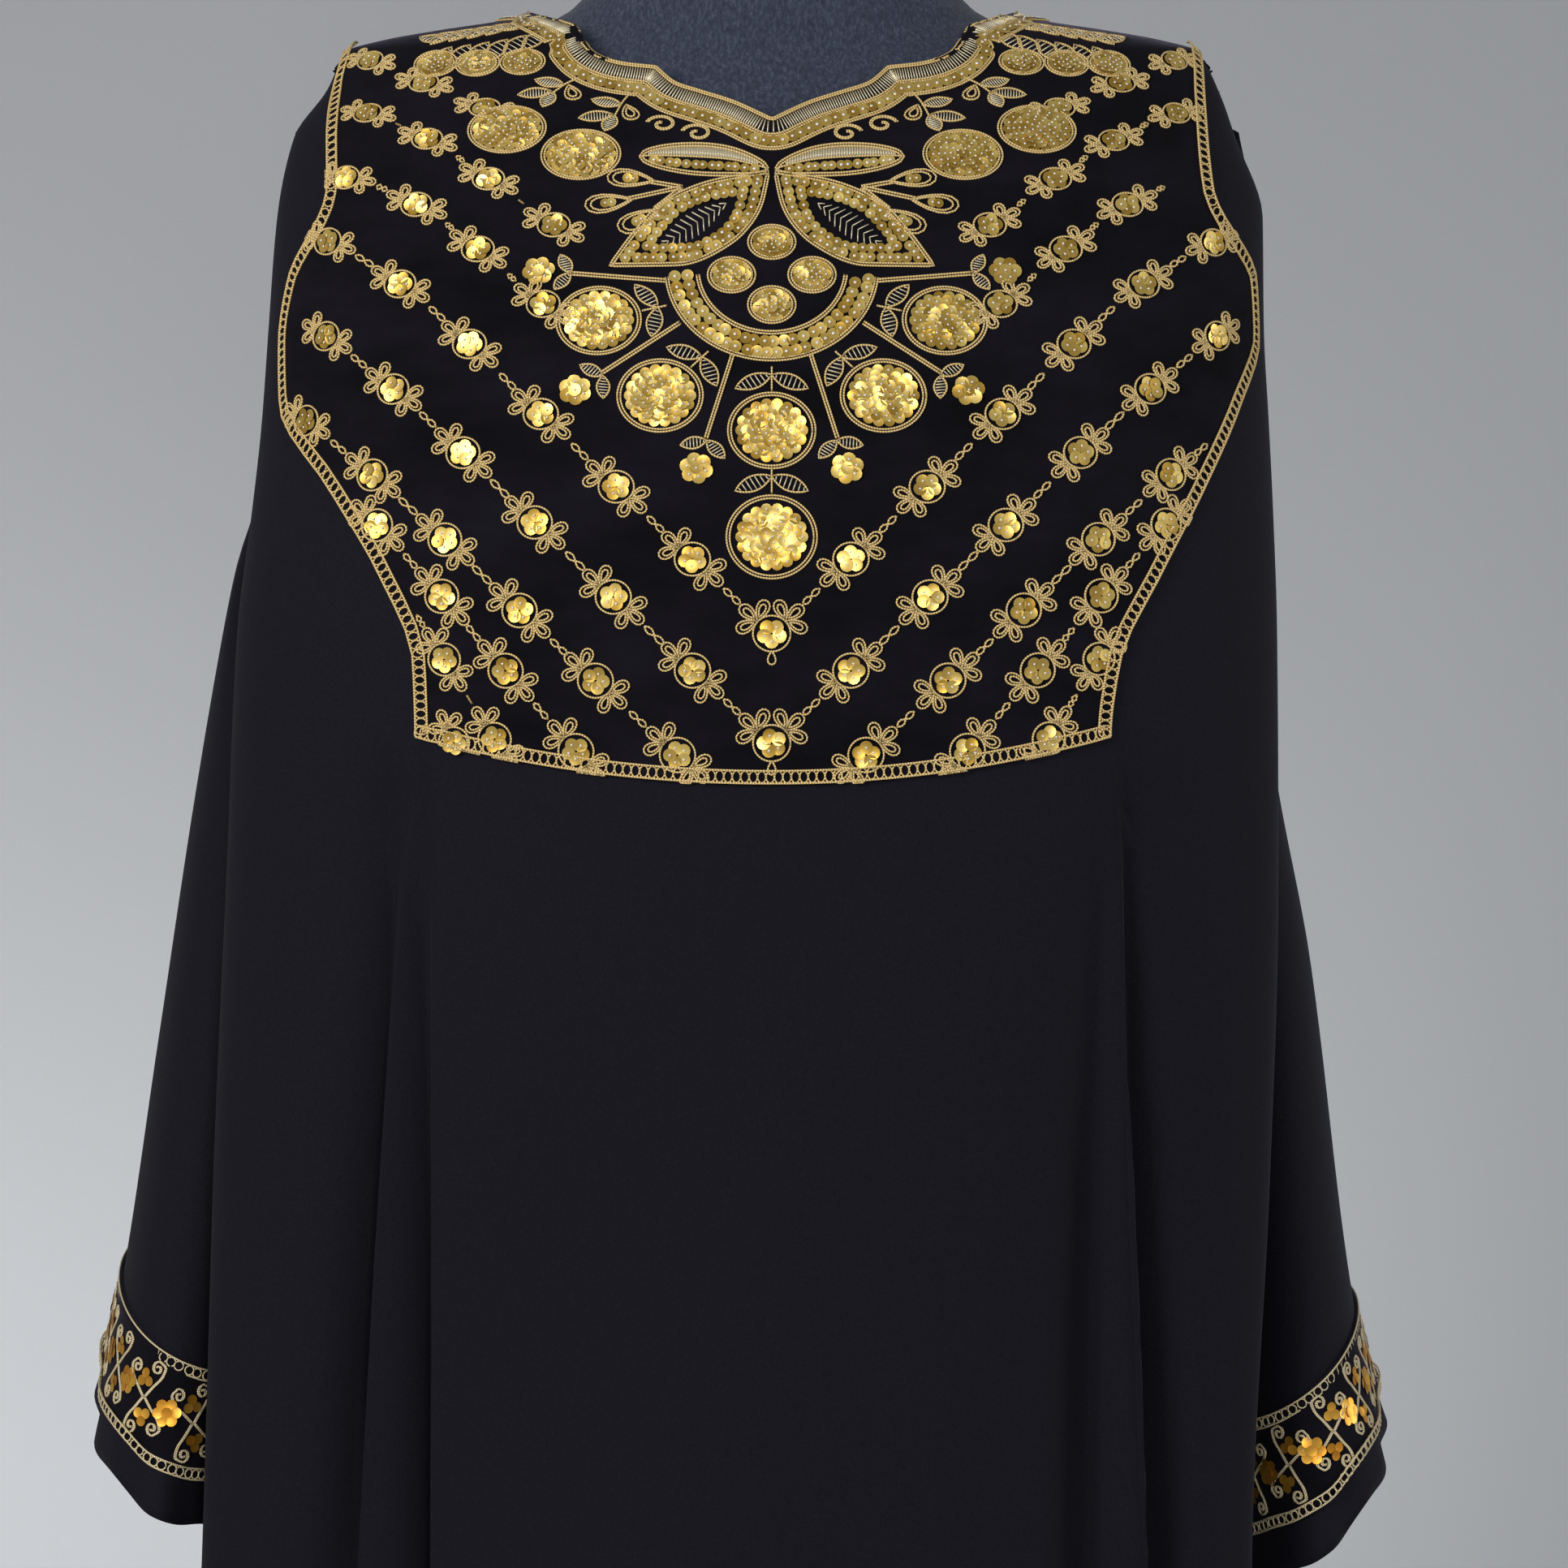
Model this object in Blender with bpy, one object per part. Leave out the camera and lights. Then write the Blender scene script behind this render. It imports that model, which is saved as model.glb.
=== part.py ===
"""Closed-front wide abaya on a limbless dress form with a pole stand.

Metres, +Z up, the front of the garment faces -Y. Cloth pieces are thin closed walls:
front, back, two sleeves, chest panel, its braid, neck trim and two cuff bands.
"""
import bpy
import math

# Cut of the garment
HEM_Z = 0.060
PANEL_CORNER_Z = 1.152
PANEL_DIP = 0.018
PANEL_HALF = 0.150
SHOULDER_END_Z = 1.4275
SHOULDER_END_X = 0.2005
NECK_SIDE_X = 0.108
BACK_NECK_DEPTH = 0.064
BACK_NECK_Z = 1.4560
BRAID_WIDTH = 0.0074
CUFF_STRIP = 0.020
CUFF_BAND = 0.050

# Cloth thickness and spacing
GAP = 0.0003
CREPE = 0.0014
VELVET = 0.0013
BRAID = 0.0014
TRIM = 0.0011
BAND = 0.0012

# Stand
BASE_RADIUS = 0.165
BASE_HEIGHT = 0.022
POLE_RADIUS = 0.0125
FORM_BOTTOM = 0.800
NECK_TOP = 1.554
CAP_HEIGHT = 0.012

# Plan section of the body: height, half width left and right, depth of front, how far forward the side fold is
SECTIONS = (
    (0.0600, 0.3000, 0.2850, 0.178, 0.090),
    (0.4200, 0.2800, 0.2500, 0.161, 0.088),
    (0.7700, 0.2570, 0.2160, 0.151, 0.085),
    (0.9450, 0.2500, 0.2235, 0.149, 0.073),
    (1.0600, 0.2450, 0.2265, 0.150, 0.063),
    (1.1900, 0.2390, 0.2255, 0.148, 0.048),
    (1.2420, 0.2330, 0.2242, 0.142, 0.036),
    (1.2800, 0.2290, 0.2226, 0.134, 0.028),
    (1.3240, 0.2260, 0.2205, 0.121, 0.020),
    (1.3720, 0.2222, 0.2200, 0.101, 0.014),
    (1.4080, 0.2144, 0.2075, 0.084, 0.010),
    (1.4275, 0.2005, 0.2005, 0.071, 0.007),
    (1.4445, 0.1905, 0.1905, 0.059, 0.005),
    (1.4493, 0.1740, 0.1740, 0.055, 0.004),
    (1.4537, 0.1490, 0.1490, 0.052, 0.003),
    (1.4585, 0.1180, 0.1180, 0.048, 0.002),
    (1.4615, 0.1080, 0.1080, 0.046, 0.001),
)

# Side edge: height, inset from the outline, set back, inset of the back's outline, depth of the back, its side depth
SIDES = (
    (0.0600, 0.030, 0.000, 0.010, 0.178, 0.090),
    (0.7700, 0.045, 0.002, 0.040, 0.140, 0.070),
    (1.1400, 0.038, 0.012, 0.036, 0.122, 0.054),
    (1.2140, 0.030, 0.012, 0.032, 0.118, 0.048),
    (1.2600, 0.018, 0.011, 0.026, 0.115, 0.045),
    (1.3100, 0.007, 0.009, 0.018, 0.112, 0.042),
    (1.3600, 0.004, 0.006, 0.012, 0.105, 0.034),
    (1.4000, 0.002, 0.003, 0.006, 0.092, 0.020),
    (1.4275, 0.000, 0.000, 0.000, 0.074, 0.008),
    (1.4445, 0.000, 0.000, 0.000, 0.062, 0.005),
    (1.4615, 0.000, 0.000, 0.000, 0.050, 0.002),
)

# Edge of the chest panel, carried on below it as the deep side crease: height, left, right
PANEL_EDGE = (
    (0.0600, 0.2250, 0.2050),
    (0.4000, 0.2020, 0.1820),
    (0.7850, 0.1856, 0.1680),
    (0.9100, 0.1816, 0.1652),
    (0.9900, 0.1777, 0.1630),
    (1.0800, 0.1700, 0.1580),
    (1.1520, 0.1532, 0.1455),
    (1.1850, 0.1540, 0.1495),
    (1.2200, 0.1685, 0.1670),
    (1.2550, 0.1910, 0.1865),
    (1.2900, 0.2155, 0.2040),
    (1.3180, 0.2165, 0.2140),
    (1.3450, 0.2125, 0.2130),
    (1.3850, 0.1950, 0.1930),
    (1.4155, 0.1960, 0.1910),
    (1.4445, 0.1905, 0.1905),
)

# Column lines from the centre to the panel edge: place on the top edge (m), share of the width lower down, top height
COLUMNS = (
    (0.0000, 0.000, 1.4148),
    (0.0165, 0.110, 1.4222),
    (0.0310, 0.220, 1.4268),
    (0.0415, 0.320, 1.4303),
    (0.0500, 0.420, 1.4372),
    (0.0655, 0.510, 1.4390),
    (0.0785, 0.600, 1.4440),
    (0.0865, 0.680, 1.4552),
    (0.1080, 0.755, 1.4615),
    (0.1310, 0.823, 1.4568),
    (0.1520, 0.875, 1.4532),
    (0.1700, 0.920, 1.4501),
    (0.1831, 0.960, 1.4475),
    (0.1905, 1.000, 1.4445),
)

# Hanging creases: side, valley at the panel, the cuffs and the hem, steep inner width, slack outer width, depth there
CREASES = (
    (-1, 0.1620, 0.1870, 0.2260, 0.0090, 0.015, 0.006, 0.022, 0.028),
    (-1, 0.1495, 0.1535, 0.1810, 0.0080, 0.011, 0.004, 0.018, 0.024),
    (1, 0.1430, 0.1395, 0.1480, 0.0210, 0.014, 0.003, 0.018, 0.022),
    (1, 0.1530, 0.1688, 0.2060, 0.0075, 0.022, 0.005, 0.021, 0.028),
)

# Rows of the yoke, from the top edge to the lower edge of the chest panel
YOKE_ROWS = (0.0, 0.05, 0.11, 0.18, 0.27, 0.36, 0.46, 0.56, 0.66, 0.76, 0.86, 0.972, 1.0)
ARMHOLE_TOP = 3
ARMHOLE_FOOT = 10
SKIRT_ROWS = 11
FOLD_COLUMNS = 3
RETURN_COLUMNS = 3
BACK_COLUMNS = 6

# Sleeve section: side, height, outer and inner place, front and back reach; above the underarm it is open inward
SLEEVES = (
    (-1, 1.4126, 0.2150, 0.2100, 0.004, 0.000),
    (-1, 1.3600, 0.2230, 0.2150, 0.008, 0.020),
    (-1, 1.3100, 0.2262, 0.2120, 0.008, 0.044),
    (-1, 1.2500, 0.2345, 0.2100, -0.008, 0.054),
    (-1, 1.2140, 0.2455, 0.2080, -0.018, 0.062),
    (-1, 1.1300, 0.2640, 0.2130, -0.022, 0.074),
    (-1, 0.9800, 0.2880, 0.2240, -0.042, 0.094),
    (-1, 0.8600, 0.3060, 0.2370, -0.063, 0.108),
    (-1, 0.7900, 0.3205, 0.2430, -0.076, 0.114),
    (1, 1.4126, 0.2100, 0.2000, 0.004, 0.000),
    (1, 1.3600, 0.2210, 0.2100, 0.008, 0.020),
    (1, 1.3100, 0.2215, 0.2100, 0.008, 0.044),
    (1, 1.2500, 0.2235, 0.2050, -0.006, 0.054),
    (1, 1.2140, 0.2245, 0.1950, -0.014, 0.060),
    (1, 1.1300, 0.2315, 0.1990, -0.020, 0.074),
    (1, 1.0200, 0.2510, 0.2040, -0.036, 0.090),
    (1, 0.8380, 0.2740, 0.2110, -0.062, 0.106),
    (1, 0.7640, 0.2910, 0.2180, -0.074, 0.112),
)
CUFF_HEMS = ((-1, 0.7945), (1, 0.771))

# Hang of the cuffs: side, rise of the outer edge at the band's top and at the hem, drop of the front
CUFF_HANG = ((-1, 0.020, 0.023, 0.006), (1, 0.026, 0.032, 0.000))
UNDERARM_BLEND = 0.10
SLEEVE_AROUND = 20
SLEEVE_ROWS = 6

# Dress form section: height, half width, front depth, back depth, squareness
FORM = (
    (0.8000, 0.1420, 0.088, 0.094, 2.2),
    (0.8030, 0.1460, 0.092, 0.098, 2.2),
    (0.8600, 0.1600, 0.098, 0.106, 2.2),
    (0.9200, 0.1600, 0.100, 0.104, 2.2),
    (1.0100, 0.1380, 0.094, 0.086, 2.2),
    (1.0800, 0.1240, 0.092, 0.076, 2.2),
    (1.1500, 0.1340, 0.104, 0.078, 2.2),
    (1.2200, 0.1500, 0.124, 0.084, 2.2),
    (1.2900, 0.1640, 0.112, 0.088, 2.2),
    (1.3400, 0.1780, 0.096, 0.088, 2.2),
    (1.3860, 0.1870, 0.083, 0.080, 2.1),
    (1.4110, 0.1885, 0.073, 0.070, 2.0),
    (1.4260, 0.1840, 0.064, 0.060, 1.9),
    (1.4380, 0.1720, 0.058, 0.055, 1.8),
    (1.4465, 0.1500, 0.054, 0.051, 1.7),
    (1.4525, 0.1240, 0.053, 0.050, 1.7),
    (1.4580, 0.1020, 0.053, 0.050, 1.8),
    (1.4650, 0.0900, 0.052, 0.050, 2.0),
    (1.4740, 0.0820, 0.051, 0.050, 2.0),
    (1.4860, 0.0750, 0.051, 0.050, 2.0),
    (1.5060, 0.0660, 0.050, 0.049, 2.0),
    (1.5310, 0.0610, 0.049, 0.048, 2.0),
    (1.5540, 0.0600, 0.049, 0.048, 2.0),
)
FORM_AROUND = 28


def curve(rows, column, at):
    """Smooth reading of one column of a table whose first column rises."""
    if at <= rows[0][0]:
        return rows[0][column]
    if at >= rows[-1][0]:
        return rows[-1][column]
    i = 0
    while at > rows[i + 1][0]:
        i += 1
    x0, x1 = rows[i][0], rows[i + 1][0]
    y0, y1 = rows[i][column], rows[i + 1][column]
    middle = (y1 - y0) / (x1 - x0)
    before = middle
    after = middle
    if i > 0:
        before = (y0 - rows[i - 1][column]) / (x0 - rows[i - 1][0])
    if i + 2 < len(rows):
        after = (rows[i + 2][column] - y1) / (rows[i + 2][0] - x1)
    m0 = 0.0 if before * middle <= 0 else 2 * before * middle / (before + middle)
    m1 = 0.0 if after * middle <= 0 else 2 * after * middle / (after + middle)
    if i == 0:
        m0 = middle
    if i + 2 == len(rows):
        m1 = middle
    h = x1 - x0
    t = (at - x0) / h
    return (
        (1 + 2 * t) * (1 - t) ** 2 * y0
        + t * (1 - t) ** 2 * h * m0
        + t * t * (3 - 2 * t) * y1
        + t * t * (t - 1) * h * m1
    )


def outline(side, z):
    return curve(SECTIONS, 1 if side < 0 else 2, z)


def panel_edge(side, z):
    return min(curve(PANEL_EDGE, 1 if side < 0 else 2, z), 0.9995 * outline(side, z))


def ridge(x):
    """Height of the shoulder line at a place across it."""
    low, high = 1.40, 1.4615
    for _ in range(40):
        middle = (low + high) / 2
        if outline(-1, middle) > x:
            low = middle
        else:
            high = middle
    return (low + high) / 2


def creases(side, x, z):
    """Hanging creases: how far the cloth stands back from its plain section."""
    if z > PANEL_CORNER_Z:
        return 0.0
    rise = min(1.0, (PANEL_CORNER_Z - z) / 0.03)
    total = 0.0
    for which, top, cuff, hem, steep, slack, d_top, d_cuff, d_hem in CREASES:
        if which != side:
            continue
        at = curve(((HEM_Z, hem), (0.785, cuff), (PANEL_CORNER_Z, top)), 1, z)
        deep = curve(((HEM_Z, d_hem), (0.785, d_cuff), (PANEL_CORNER_Z, d_top)), 1, z)
        if x > at:
            total += deep * math.exp(-(x - at) / slack)
        elif x > at - steep:
            t = (x - at + steep) / steep
            total += deep * t * t * (3 - 2 * t)
    return total * rise


def front_depth(side, x, z):
    """Place of the front along Y on its plain section, with the creases."""
    wide = outline(side, z)
    deep = curve(SECTIONS, 3, z)
    fold = curve(SECTIONS, 4, z)
    share = min(1.0, x / wide)
    plain = -(fold + (deep - fold) * math.sqrt(max(0.0, 1 - share**2.4)))
    return plain + creases(side, x, z) * min(1.0, 6 * (1 - share))


def column_height(column, top, row):
    """Height of a column line on a row of the yoke or of the skirt."""
    place = COLUMNS[min(column, len(COLUMNS) - 1)][1]
    foot = PANEL_CORNER_Z - PANEL_DIP * (1 - place**2)
    last = len(YOKE_ROWS) - 1
    if row > last:
        return foot + (HEM_Z - foot) * (row - last) / SKIRT_ROWS
    bend = 1.0 + 0.7 * min(1.0, column / 8)
    return top + (foot - top) * YOKE_ROWS[row] ** bend


def front_point(side, column, row):
    """A point of the front; columns run from the centre out and round the side fold to the seam."""
    inner = len(COLUMNS) - 1
    last = inner + FOLD_COLUMNS + RETURN_COLUMNS
    if column <= inner:
        x_top, share, top = COLUMNS[column]
    else:
        x_top = 0.1905 + (SHOULDER_END_X - 0.1905) * (column - inner) / (last - inner)
        top = ridge(x_top)
    if x_top >= NECK_SIDE_X:
        top = ridge(x_top)
    z = column_height(column, top, row)
    wide = outline(side, z)
    if row == 0:
        y = front_depth(side, x_top, z) if x_top < NECK_SIDE_X else 0.0
        return (side * x_top, y, z)
    if column <= inner:
        e = YOKE_ROWS[row] if row < len(YOKE_ROWS) else 1.0
        turn = e * e * (3 - 2 * e)
        share_top = x_top / 0.1905
        edge = panel_edge(side, column_height(inner, ridge(0.1905), row))
        x = edge * (share_top + (share - share_top) * turn)
        if column == inner - 1:
            x = edge - BRAID_WIDTH
        x = min(x, 0.999 * wide)
        return (side * x, front_depth(side, x, z), z)
    if column <= inner + FOLD_COLUMNS:
        start = math.asin(panel_edge(side, z) / wide)
        angle = start + (math.pi / 2 - start) * (column - inner) / FOLD_COLUMNS
        x = wide * math.sin(angle)
        return (side * x, front_depth(side, x, z), z)
    s = (column - inner - FOLD_COLUMNS) / RETURN_COLUMNS
    x = wide - curve(SIDES, 1, z) * (1 - math.cos(math.pi * s)) / 2
    y0 = -curve(SECTIONS, 4, z)
    y = y0 + (curve(SIDES, 2, z) - y0) * s
    return (side * x, y, z)


def front_edge_height(row):
    return column_height(len(COLUMNS) - 1 + FOLD_COLUMNS + RETURN_COLUMNS, SHOULDER_END_Z, row)


def armhole_share(row):
    """How near the back's edge is to the front's: 1 on a seam, less along the armhole."""
    if row <= ARMHOLE_TOP or row >= ARMHOLE_FOOT:
        return 1.0
    z_top = front_edge_height(ARMHOLE_TOP)
    t = (z_top - front_edge_height(row)) / (z_top - front_edge_height(ARMHOLE_FOOT))
    return 1.0 - 0.85 * math.sin(math.pi * t) ** 0.7


def back_point(side, column, row):
    """A point of the back; columns run from the centre out to the seam."""
    last = BACK_COLUMNS + FOLD_COLUMNS + RETURN_COLUMNS
    u = column / BACK_COLUMNS
    if column <= BACK_COLUMNS:
        x_top = 0.1905 * u
    else:
        x_top = 0.1905 + (SHOULDER_END_X - 0.1905) * (column - BACK_COLUMNS) / (last - BACK_COLUMNS)
    if row == 0:
        if column == 3:
            x_top = NECK_SIDE_X
        if column < 3:
            turn = math.pi / 2 * column / 3
            x = NECK_SIDE_X * math.sin(turn)
            return (side * x, BACK_NECK_DEPTH * math.cos(turn), BACK_NECK_Z + 0.0055 * math.sin(turn) ** 4)
        return (side * x_top, 0.0, ridge(x_top))
    top = BACK_NECK_Z if column < 3 else ridge(NECK_SIDE_X if column == 3 else x_top)
    yoke = len(YOKE_ROWS) - 1
    if row > yoke:
        z = PANEL_CORNER_Z + (HEM_Z - PANEL_CORNER_Z) * (row - yoke) / SKIRT_ROWS
    else:
        bend = 1.3 + 0.4 * min(1.0, column / 3)
        z = top + (PANEL_CORNER_Z - top) * YOKE_ROWS[row] ** bend
    wide = outline(side, z) - curve(SIDES, 3, z)
    deep = curve(SIDES, 4, z)
    fold = curve(SIDES, 5, z)
    e = YOKE_ROWS[row] if row < len(YOKE_ROWS) else 1.0
    turn = e * e * (3 - 2 * e)
    if column <= BACK_COLUMNS:
        start = NECK_SIDE_X * math.sin(math.pi / 2 * column / 3) if column <= 3 else x_top
        level = front_edge_height(row)
        reach = outline(side, level) - curve(SIDES, 3, level)
        high = start * min(1.0, reach / SHOULDER_END_X)
        x = min(high + (0.86 * u * reach - high) * turn, 0.995 * wide)
    elif column <= BACK_COLUMNS + FOLD_COLUMNS:
        high = min(0.99, 0.1905 / wide)
        begin = math.asin(high + (0.86 - high) * turn)
        x = wide * math.sin(begin + (math.pi / 2 - begin) * (column - BACK_COLUMNS) / FOLD_COLUMNS)
    else:
        s = (column - BACK_COLUMNS - FOLD_COLUMNS) / RETURN_COLUMNS * armhole_share(row)
        seam = outline(side, z) - curve(SIDES, 1, z)
        x = wide + (seam - wide) * (1 - math.cos(math.pi * s)) / 2
        y = fold + (curve(SIDES, 2, z) - fold) * s
        return (side * x, y, z)
    share = min(1.0, x / wide)
    return (side * x, fold + (deep - fold) * math.sqrt(max(0.0, 1 - share**2.4)), z)


def minus(a, b):
    return (a[0] - b[0], a[1] - b[1], a[2] - b[2])


def plus(a, b, k=1.0):
    return (a[0] + k * b[0], a[1] + k * b[1], a[2] + k * b[2])


def cross(a, b):
    return (a[1] * b[2] - a[2] * b[1], a[2] * b[0] - a[0] * b[2], a[0] * b[1] - a[1] * b[0])


def unit(a):
    size = math.sqrt(a[0] ** 2 + a[1] ** 2 + a[2] ** 2)
    return (a[0] / size, a[1] / size, a[2] / size)


def cell_triangles(cell, columns, merge=None):
    """Two triangles of a cell, counter-clockwise from outside; the same cut for every layer."""
    i, j = cell
    corners = ((i, j), (i + 1, j), (i + 1, j + 1), (i, j + 1))
    a, b, c, d = (merge(k) for k in corners) if merge else corners
    cut = ((a, b, c), (a, c, d)) if j * 2 < columns else ((a, b, d), (b, c, d))
    return tuple(tri for tri in cut if len(set(tri)) == 3)


def normals(grid, cells, columns, merge=None):
    """Outward normal at every grid point from the faces round it."""
    total = {}
    for cell in cells:
        for tri in cell_triangles(cell, columns, merge):
            p, q, r = (grid[k] for k in tri)
            n = cross(minus(q, p), minus(r, p))
            if n == (0.0, 0.0, 0.0):
                continue
            n = unit(n)
            for k in tri:
                total[k] = plus(total.get(k, (0.0, 0.0, 0.0)), n)
    return {k: unit(n) for k, n in total.items()}


def flatten(facing, keys):
    """Turn the wall at a seam square to the seam, so that both sides stay apart."""
    for k in keys:
        facing[k] = unit((facing[k][0], 0.0, facing[k][2]))


def material(name, colour, roughness, metallic=0.0, sheen=0.0):
    made = bpy.data.materials.new(name)
    made.use_nodes = True
    shader = made.node_tree.nodes["Principled BSDF"]
    shader.inputs["Base Color"].default_value = (*colour, 1.0)
    shader.inputs["Roughness"].default_value = roughness
    shader.inputs["Metallic"].default_value = metallic
    shader.inputs["Sheen Weight"].default_value = sheen
    made.diffuse_color = (*colour, 1.0)
    return made


def add(name, points, faces, surface):
    mesh = bpy.data.meshes.new(name)
    mesh.from_pydata(points, [], faces)
    mesh.validate()
    for face in mesh.polygons:
        face.use_smooth = True
    made = bpy.data.objects.new(name, mesh)
    made.data.materials.append(surface)
    bpy.context.collection.objects.link(made)
    return made


def wall(name, grid, facing, cells, columns, low, high, surface, merge=None):
    """Closed wall over some cells of a grid, between two distances from it."""
    used = []
    edges = {}
    for cell in cells:
        for tri in cell_triangles(cell, columns, merge):
            for k in range(3):
                a, b = tri[k], tri[(k + 1) % 3]
                edges[(a, b)] = edges.get((a, b), 0) + 1
                used.append(a)
    order = {k: i for i, k in enumerate(sorted(set(used)))}
    count = len(order)
    points = [plus(grid[k], facing[k], high) for k in order] + [plus(grid[k], facing[k], low) for k in order]
    faces = []
    for cell in cells:
        for tri in cell_triangles(cell, columns, merge):
            a, b, c = (order[k] for k in tri)
            faces.append((a, b, c))
            faces.append((c + count, b + count, a + count))
    for a, b in edges:
        if (b, a) in edges:
            continue
        p, q = order[a], order[b]
        faces.append((q, p, p + count))
        faces.append((q, p + count, q + count))
    return add(name, points, faces, surface)


def stack(name, rings, surface):
    """Closed body through rings of points, lowest first, each counter-clockwise from above."""
    around = len(rings[0])
    points = [p for ring in rings for p in ring]
    faces = []
    for i in range(len(rings) - 1):
        for j in range(around):
            a, b = i * around + j, i * around + (j + 1) % around
            faces.append((a, b, b + around))
            faces.append((a, b + around, a + around))
    foot = len(points)
    points.append(tuple(sum(p[k] for p in rings[0]) / around for k in range(3)))
    points.append(tuple(sum(p[k] for p in rings[-1]) / around for k in range(3)))
    top = (len(rings) - 1) * around
    for j in range(around):
        k = (j + 1) % around
        faces.append((foot, k, j))
        faces.append((foot + 1, top + j, top + k))
    return add(name, points, faces, surface)


def lathe(name, profile, around, surface, centre_y=0.0):
    rings = []
    for radius, z in profile:
        turn = [2 * math.pi * k / around for k in range(around)]
        rings.append([(radius * math.cos(a), centre_y + radius * math.sin(a), z) for a in turn])
    return stack(name, rings, surface)


def body_grids():
    """Points of the front and of the back, moved half a gap off the seams."""
    rows = len(YOKE_ROWS) + SKIRT_ROWS
    half = len(COLUMNS) - 1 + FOLD_COLUMNS + RETURN_COLUMNS
    front = {}
    for i in range(rows):
        for j in range(2 * half + 1):
            side = -1 if j < half else 1
            p = front_point(side, abs(j - half), i)
            seam = i == 0 and abs(p[0]) >= NECK_SIDE_X - 1e-6 or j in (0, 2 * half)
            front[i, j] = (p[0], p[1] - (GAP / 2 if seam else 0.0), p[2])
    wide = BACK_COLUMNS + FOLD_COLUMNS + RETURN_COLUMNS
    back = {}
    for i in range(rows):
        for j in range(2 * wide + 1):
            side = 1 if j < wide else -1
            p = back_point(side, abs(j - wide), i)
            seam = i == 0 and abs(p[0]) >= NECK_SIDE_X - 1e-6 or j in (0, 2 * wide)
            back[i, j] = (p[0], p[1] + (GAP / 2 if seam else 0.0), p[2])
    return front, back, half, wide, rows


def seam_key(key, grid, across):
    """Points on the shoulder seams and side seams."""
    return key[1] in (0, across) or (key[0] == 0 and abs(grid[key][0]) >= NECK_SIDE_X - 1e-6)


def all_cells(rows, columns):
    return [(i, j) for i in range(rows - 1) for j in range(columns)]


def sleeve_section(side, z):
    rows = tuple(row[1:] for row in reversed(SLEEVES) if row[0] == side)
    return tuple(curve(rows, k, z) for k in range(1, 5))


def sleeve_point(side, s, z, front_edge, back_edge):
    """Sleeve at one height; s runs from -1 on the front's edge by the outer line to 1 on the back's."""
    outer, inner, ahead, behind = sleeve_section(side, z)
    reach = (behind - ahead) / 2
    middle = (behind + ahead) / 2
    round_x = (outer + inner) / 2 + (outer - inner) / 2 * math.cos(math.pi * s)
    round_y = middle + reach * math.sin(math.pi * s)
    edge = front_edge if s < 0 else back_edge
    share = abs(s)
    open_x = edge[0] + (outer - edge[0]) * (1 - share**2.5)
    over_front = max(0.0, front_edge[1] - ahead)
    over_back = max(0.0, behind - back_edge[1])
    open_middle = (front_edge[1] + back_edge[1] + over_back - over_front) / 2
    open_y = open_middle * (1 - share) + edge[1] * share
    open_y += math.copysign((over_front if s < 0 else over_back) * math.sin(math.pi * share**0.8), s)
    blend = max(0.0, min(1.0, (edge[2] - z) / UNDERARM_BLEND))
    blend = blend * blend * (3 - 2 * blend)
    return (side * (open_x + (round_x - open_x) * blend), open_y + (round_y - open_y) * blend, z)


def cuff_lift(side, s, z, start):
    """How far the sleeve's cloth hangs above its level: towards the cuff the outer side rises and the front drops."""
    _, at_band, at_hem, drop = next(row for row in CUFF_HANG if row[0] == side)
    hem = dict(CUFF_HEMS)[side]
    band = hem + CUFF_STRIP + CUFF_BAND
    share = min(1.0, (start - z) / (start - band)) ** 1.5
    outer = at_band + (at_hem - at_band) * max(0.0, (band - z) / (band - hem))
    return share * (outer * math.cos(math.pi * s) + drop * math.sin(math.pi * s))


def sleeve_grid(side, front, back, half, wide):
    """Rows of the sleeve head share the heights of the armhole; below the underarm the sleeve is a tube."""
    front_column = 0 if side < 0 else 2 * half
    back_column = 2 * wide if side < 0 else 0
    around = SLEEVE_AROUND
    grid = {}
    for i in range(ARMHOLE_TOP, ARMHOLE_FOOT + 1):
        f, b = front[i, front_column], back[i, back_column]
        ahead = (abs(f[0]) + 2 * GAP, f[1], f[2])
        behind = (abs(b[0]) + 2 * GAP, b[1], f[2])
        if i in (ARMHOLE_TOP, ARMHOLE_FOOT):
            ahead = (abs(f[0]) + 2 * GAP, (f[1] + b[1]) / 2, f[2])
            behind = ahead
        for k in range(around + 1):
            s = 2 * k / around - 1
            grid[i, k] = sleeve_point(side, s, f[2], ahead, behind)
        if i == ARMHOLE_TOP:
            apex = (side * (ahead[0] + CREPE), ahead[1], ahead[2] - 3 * GAP)
            for k in range(around + 1):
                grid[i, k] = apex
    seam = (abs(grid[ARMHOLE_FOOT, 0][0]), grid[ARMHOLE_FOOT, 0][1], grid[ARMHOLE_FOOT, 0][2])
    hem = dict(CUFF_HEMS)[side]
    top, low = seam[2], hem + CUFF_STRIP + CUFF_BAND
    levels = [top + (low - top) * ((k + 1) / SLEEVE_ROWS) ** 1.2 for k in range(SLEEVE_ROWS)]
    levels += [hem + CUFF_STRIP + CUFF_BAND / 2, hem + CUFF_STRIP, hem]
    for i, z in enumerate(levels):
        for k in range(around + 1):
            s = 2 * k / around - 1
            x, y, level = sleeve_point(side, s, z, seam, seam)
            grid[ARMHOLE_FOOT + 1 + i, k] = (x, y, level + cuff_lift(side, s, z, top))
    last = ARMHOLE_FOOT + len(levels)
    if side < 0:
        grid = {(i, around - k): p for (i, k), p in grid.items()}
    cells = [(i, k) for i in range(ARMHOLE_TOP, last) for k in range(around)]
    return grid, cells, last


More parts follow.
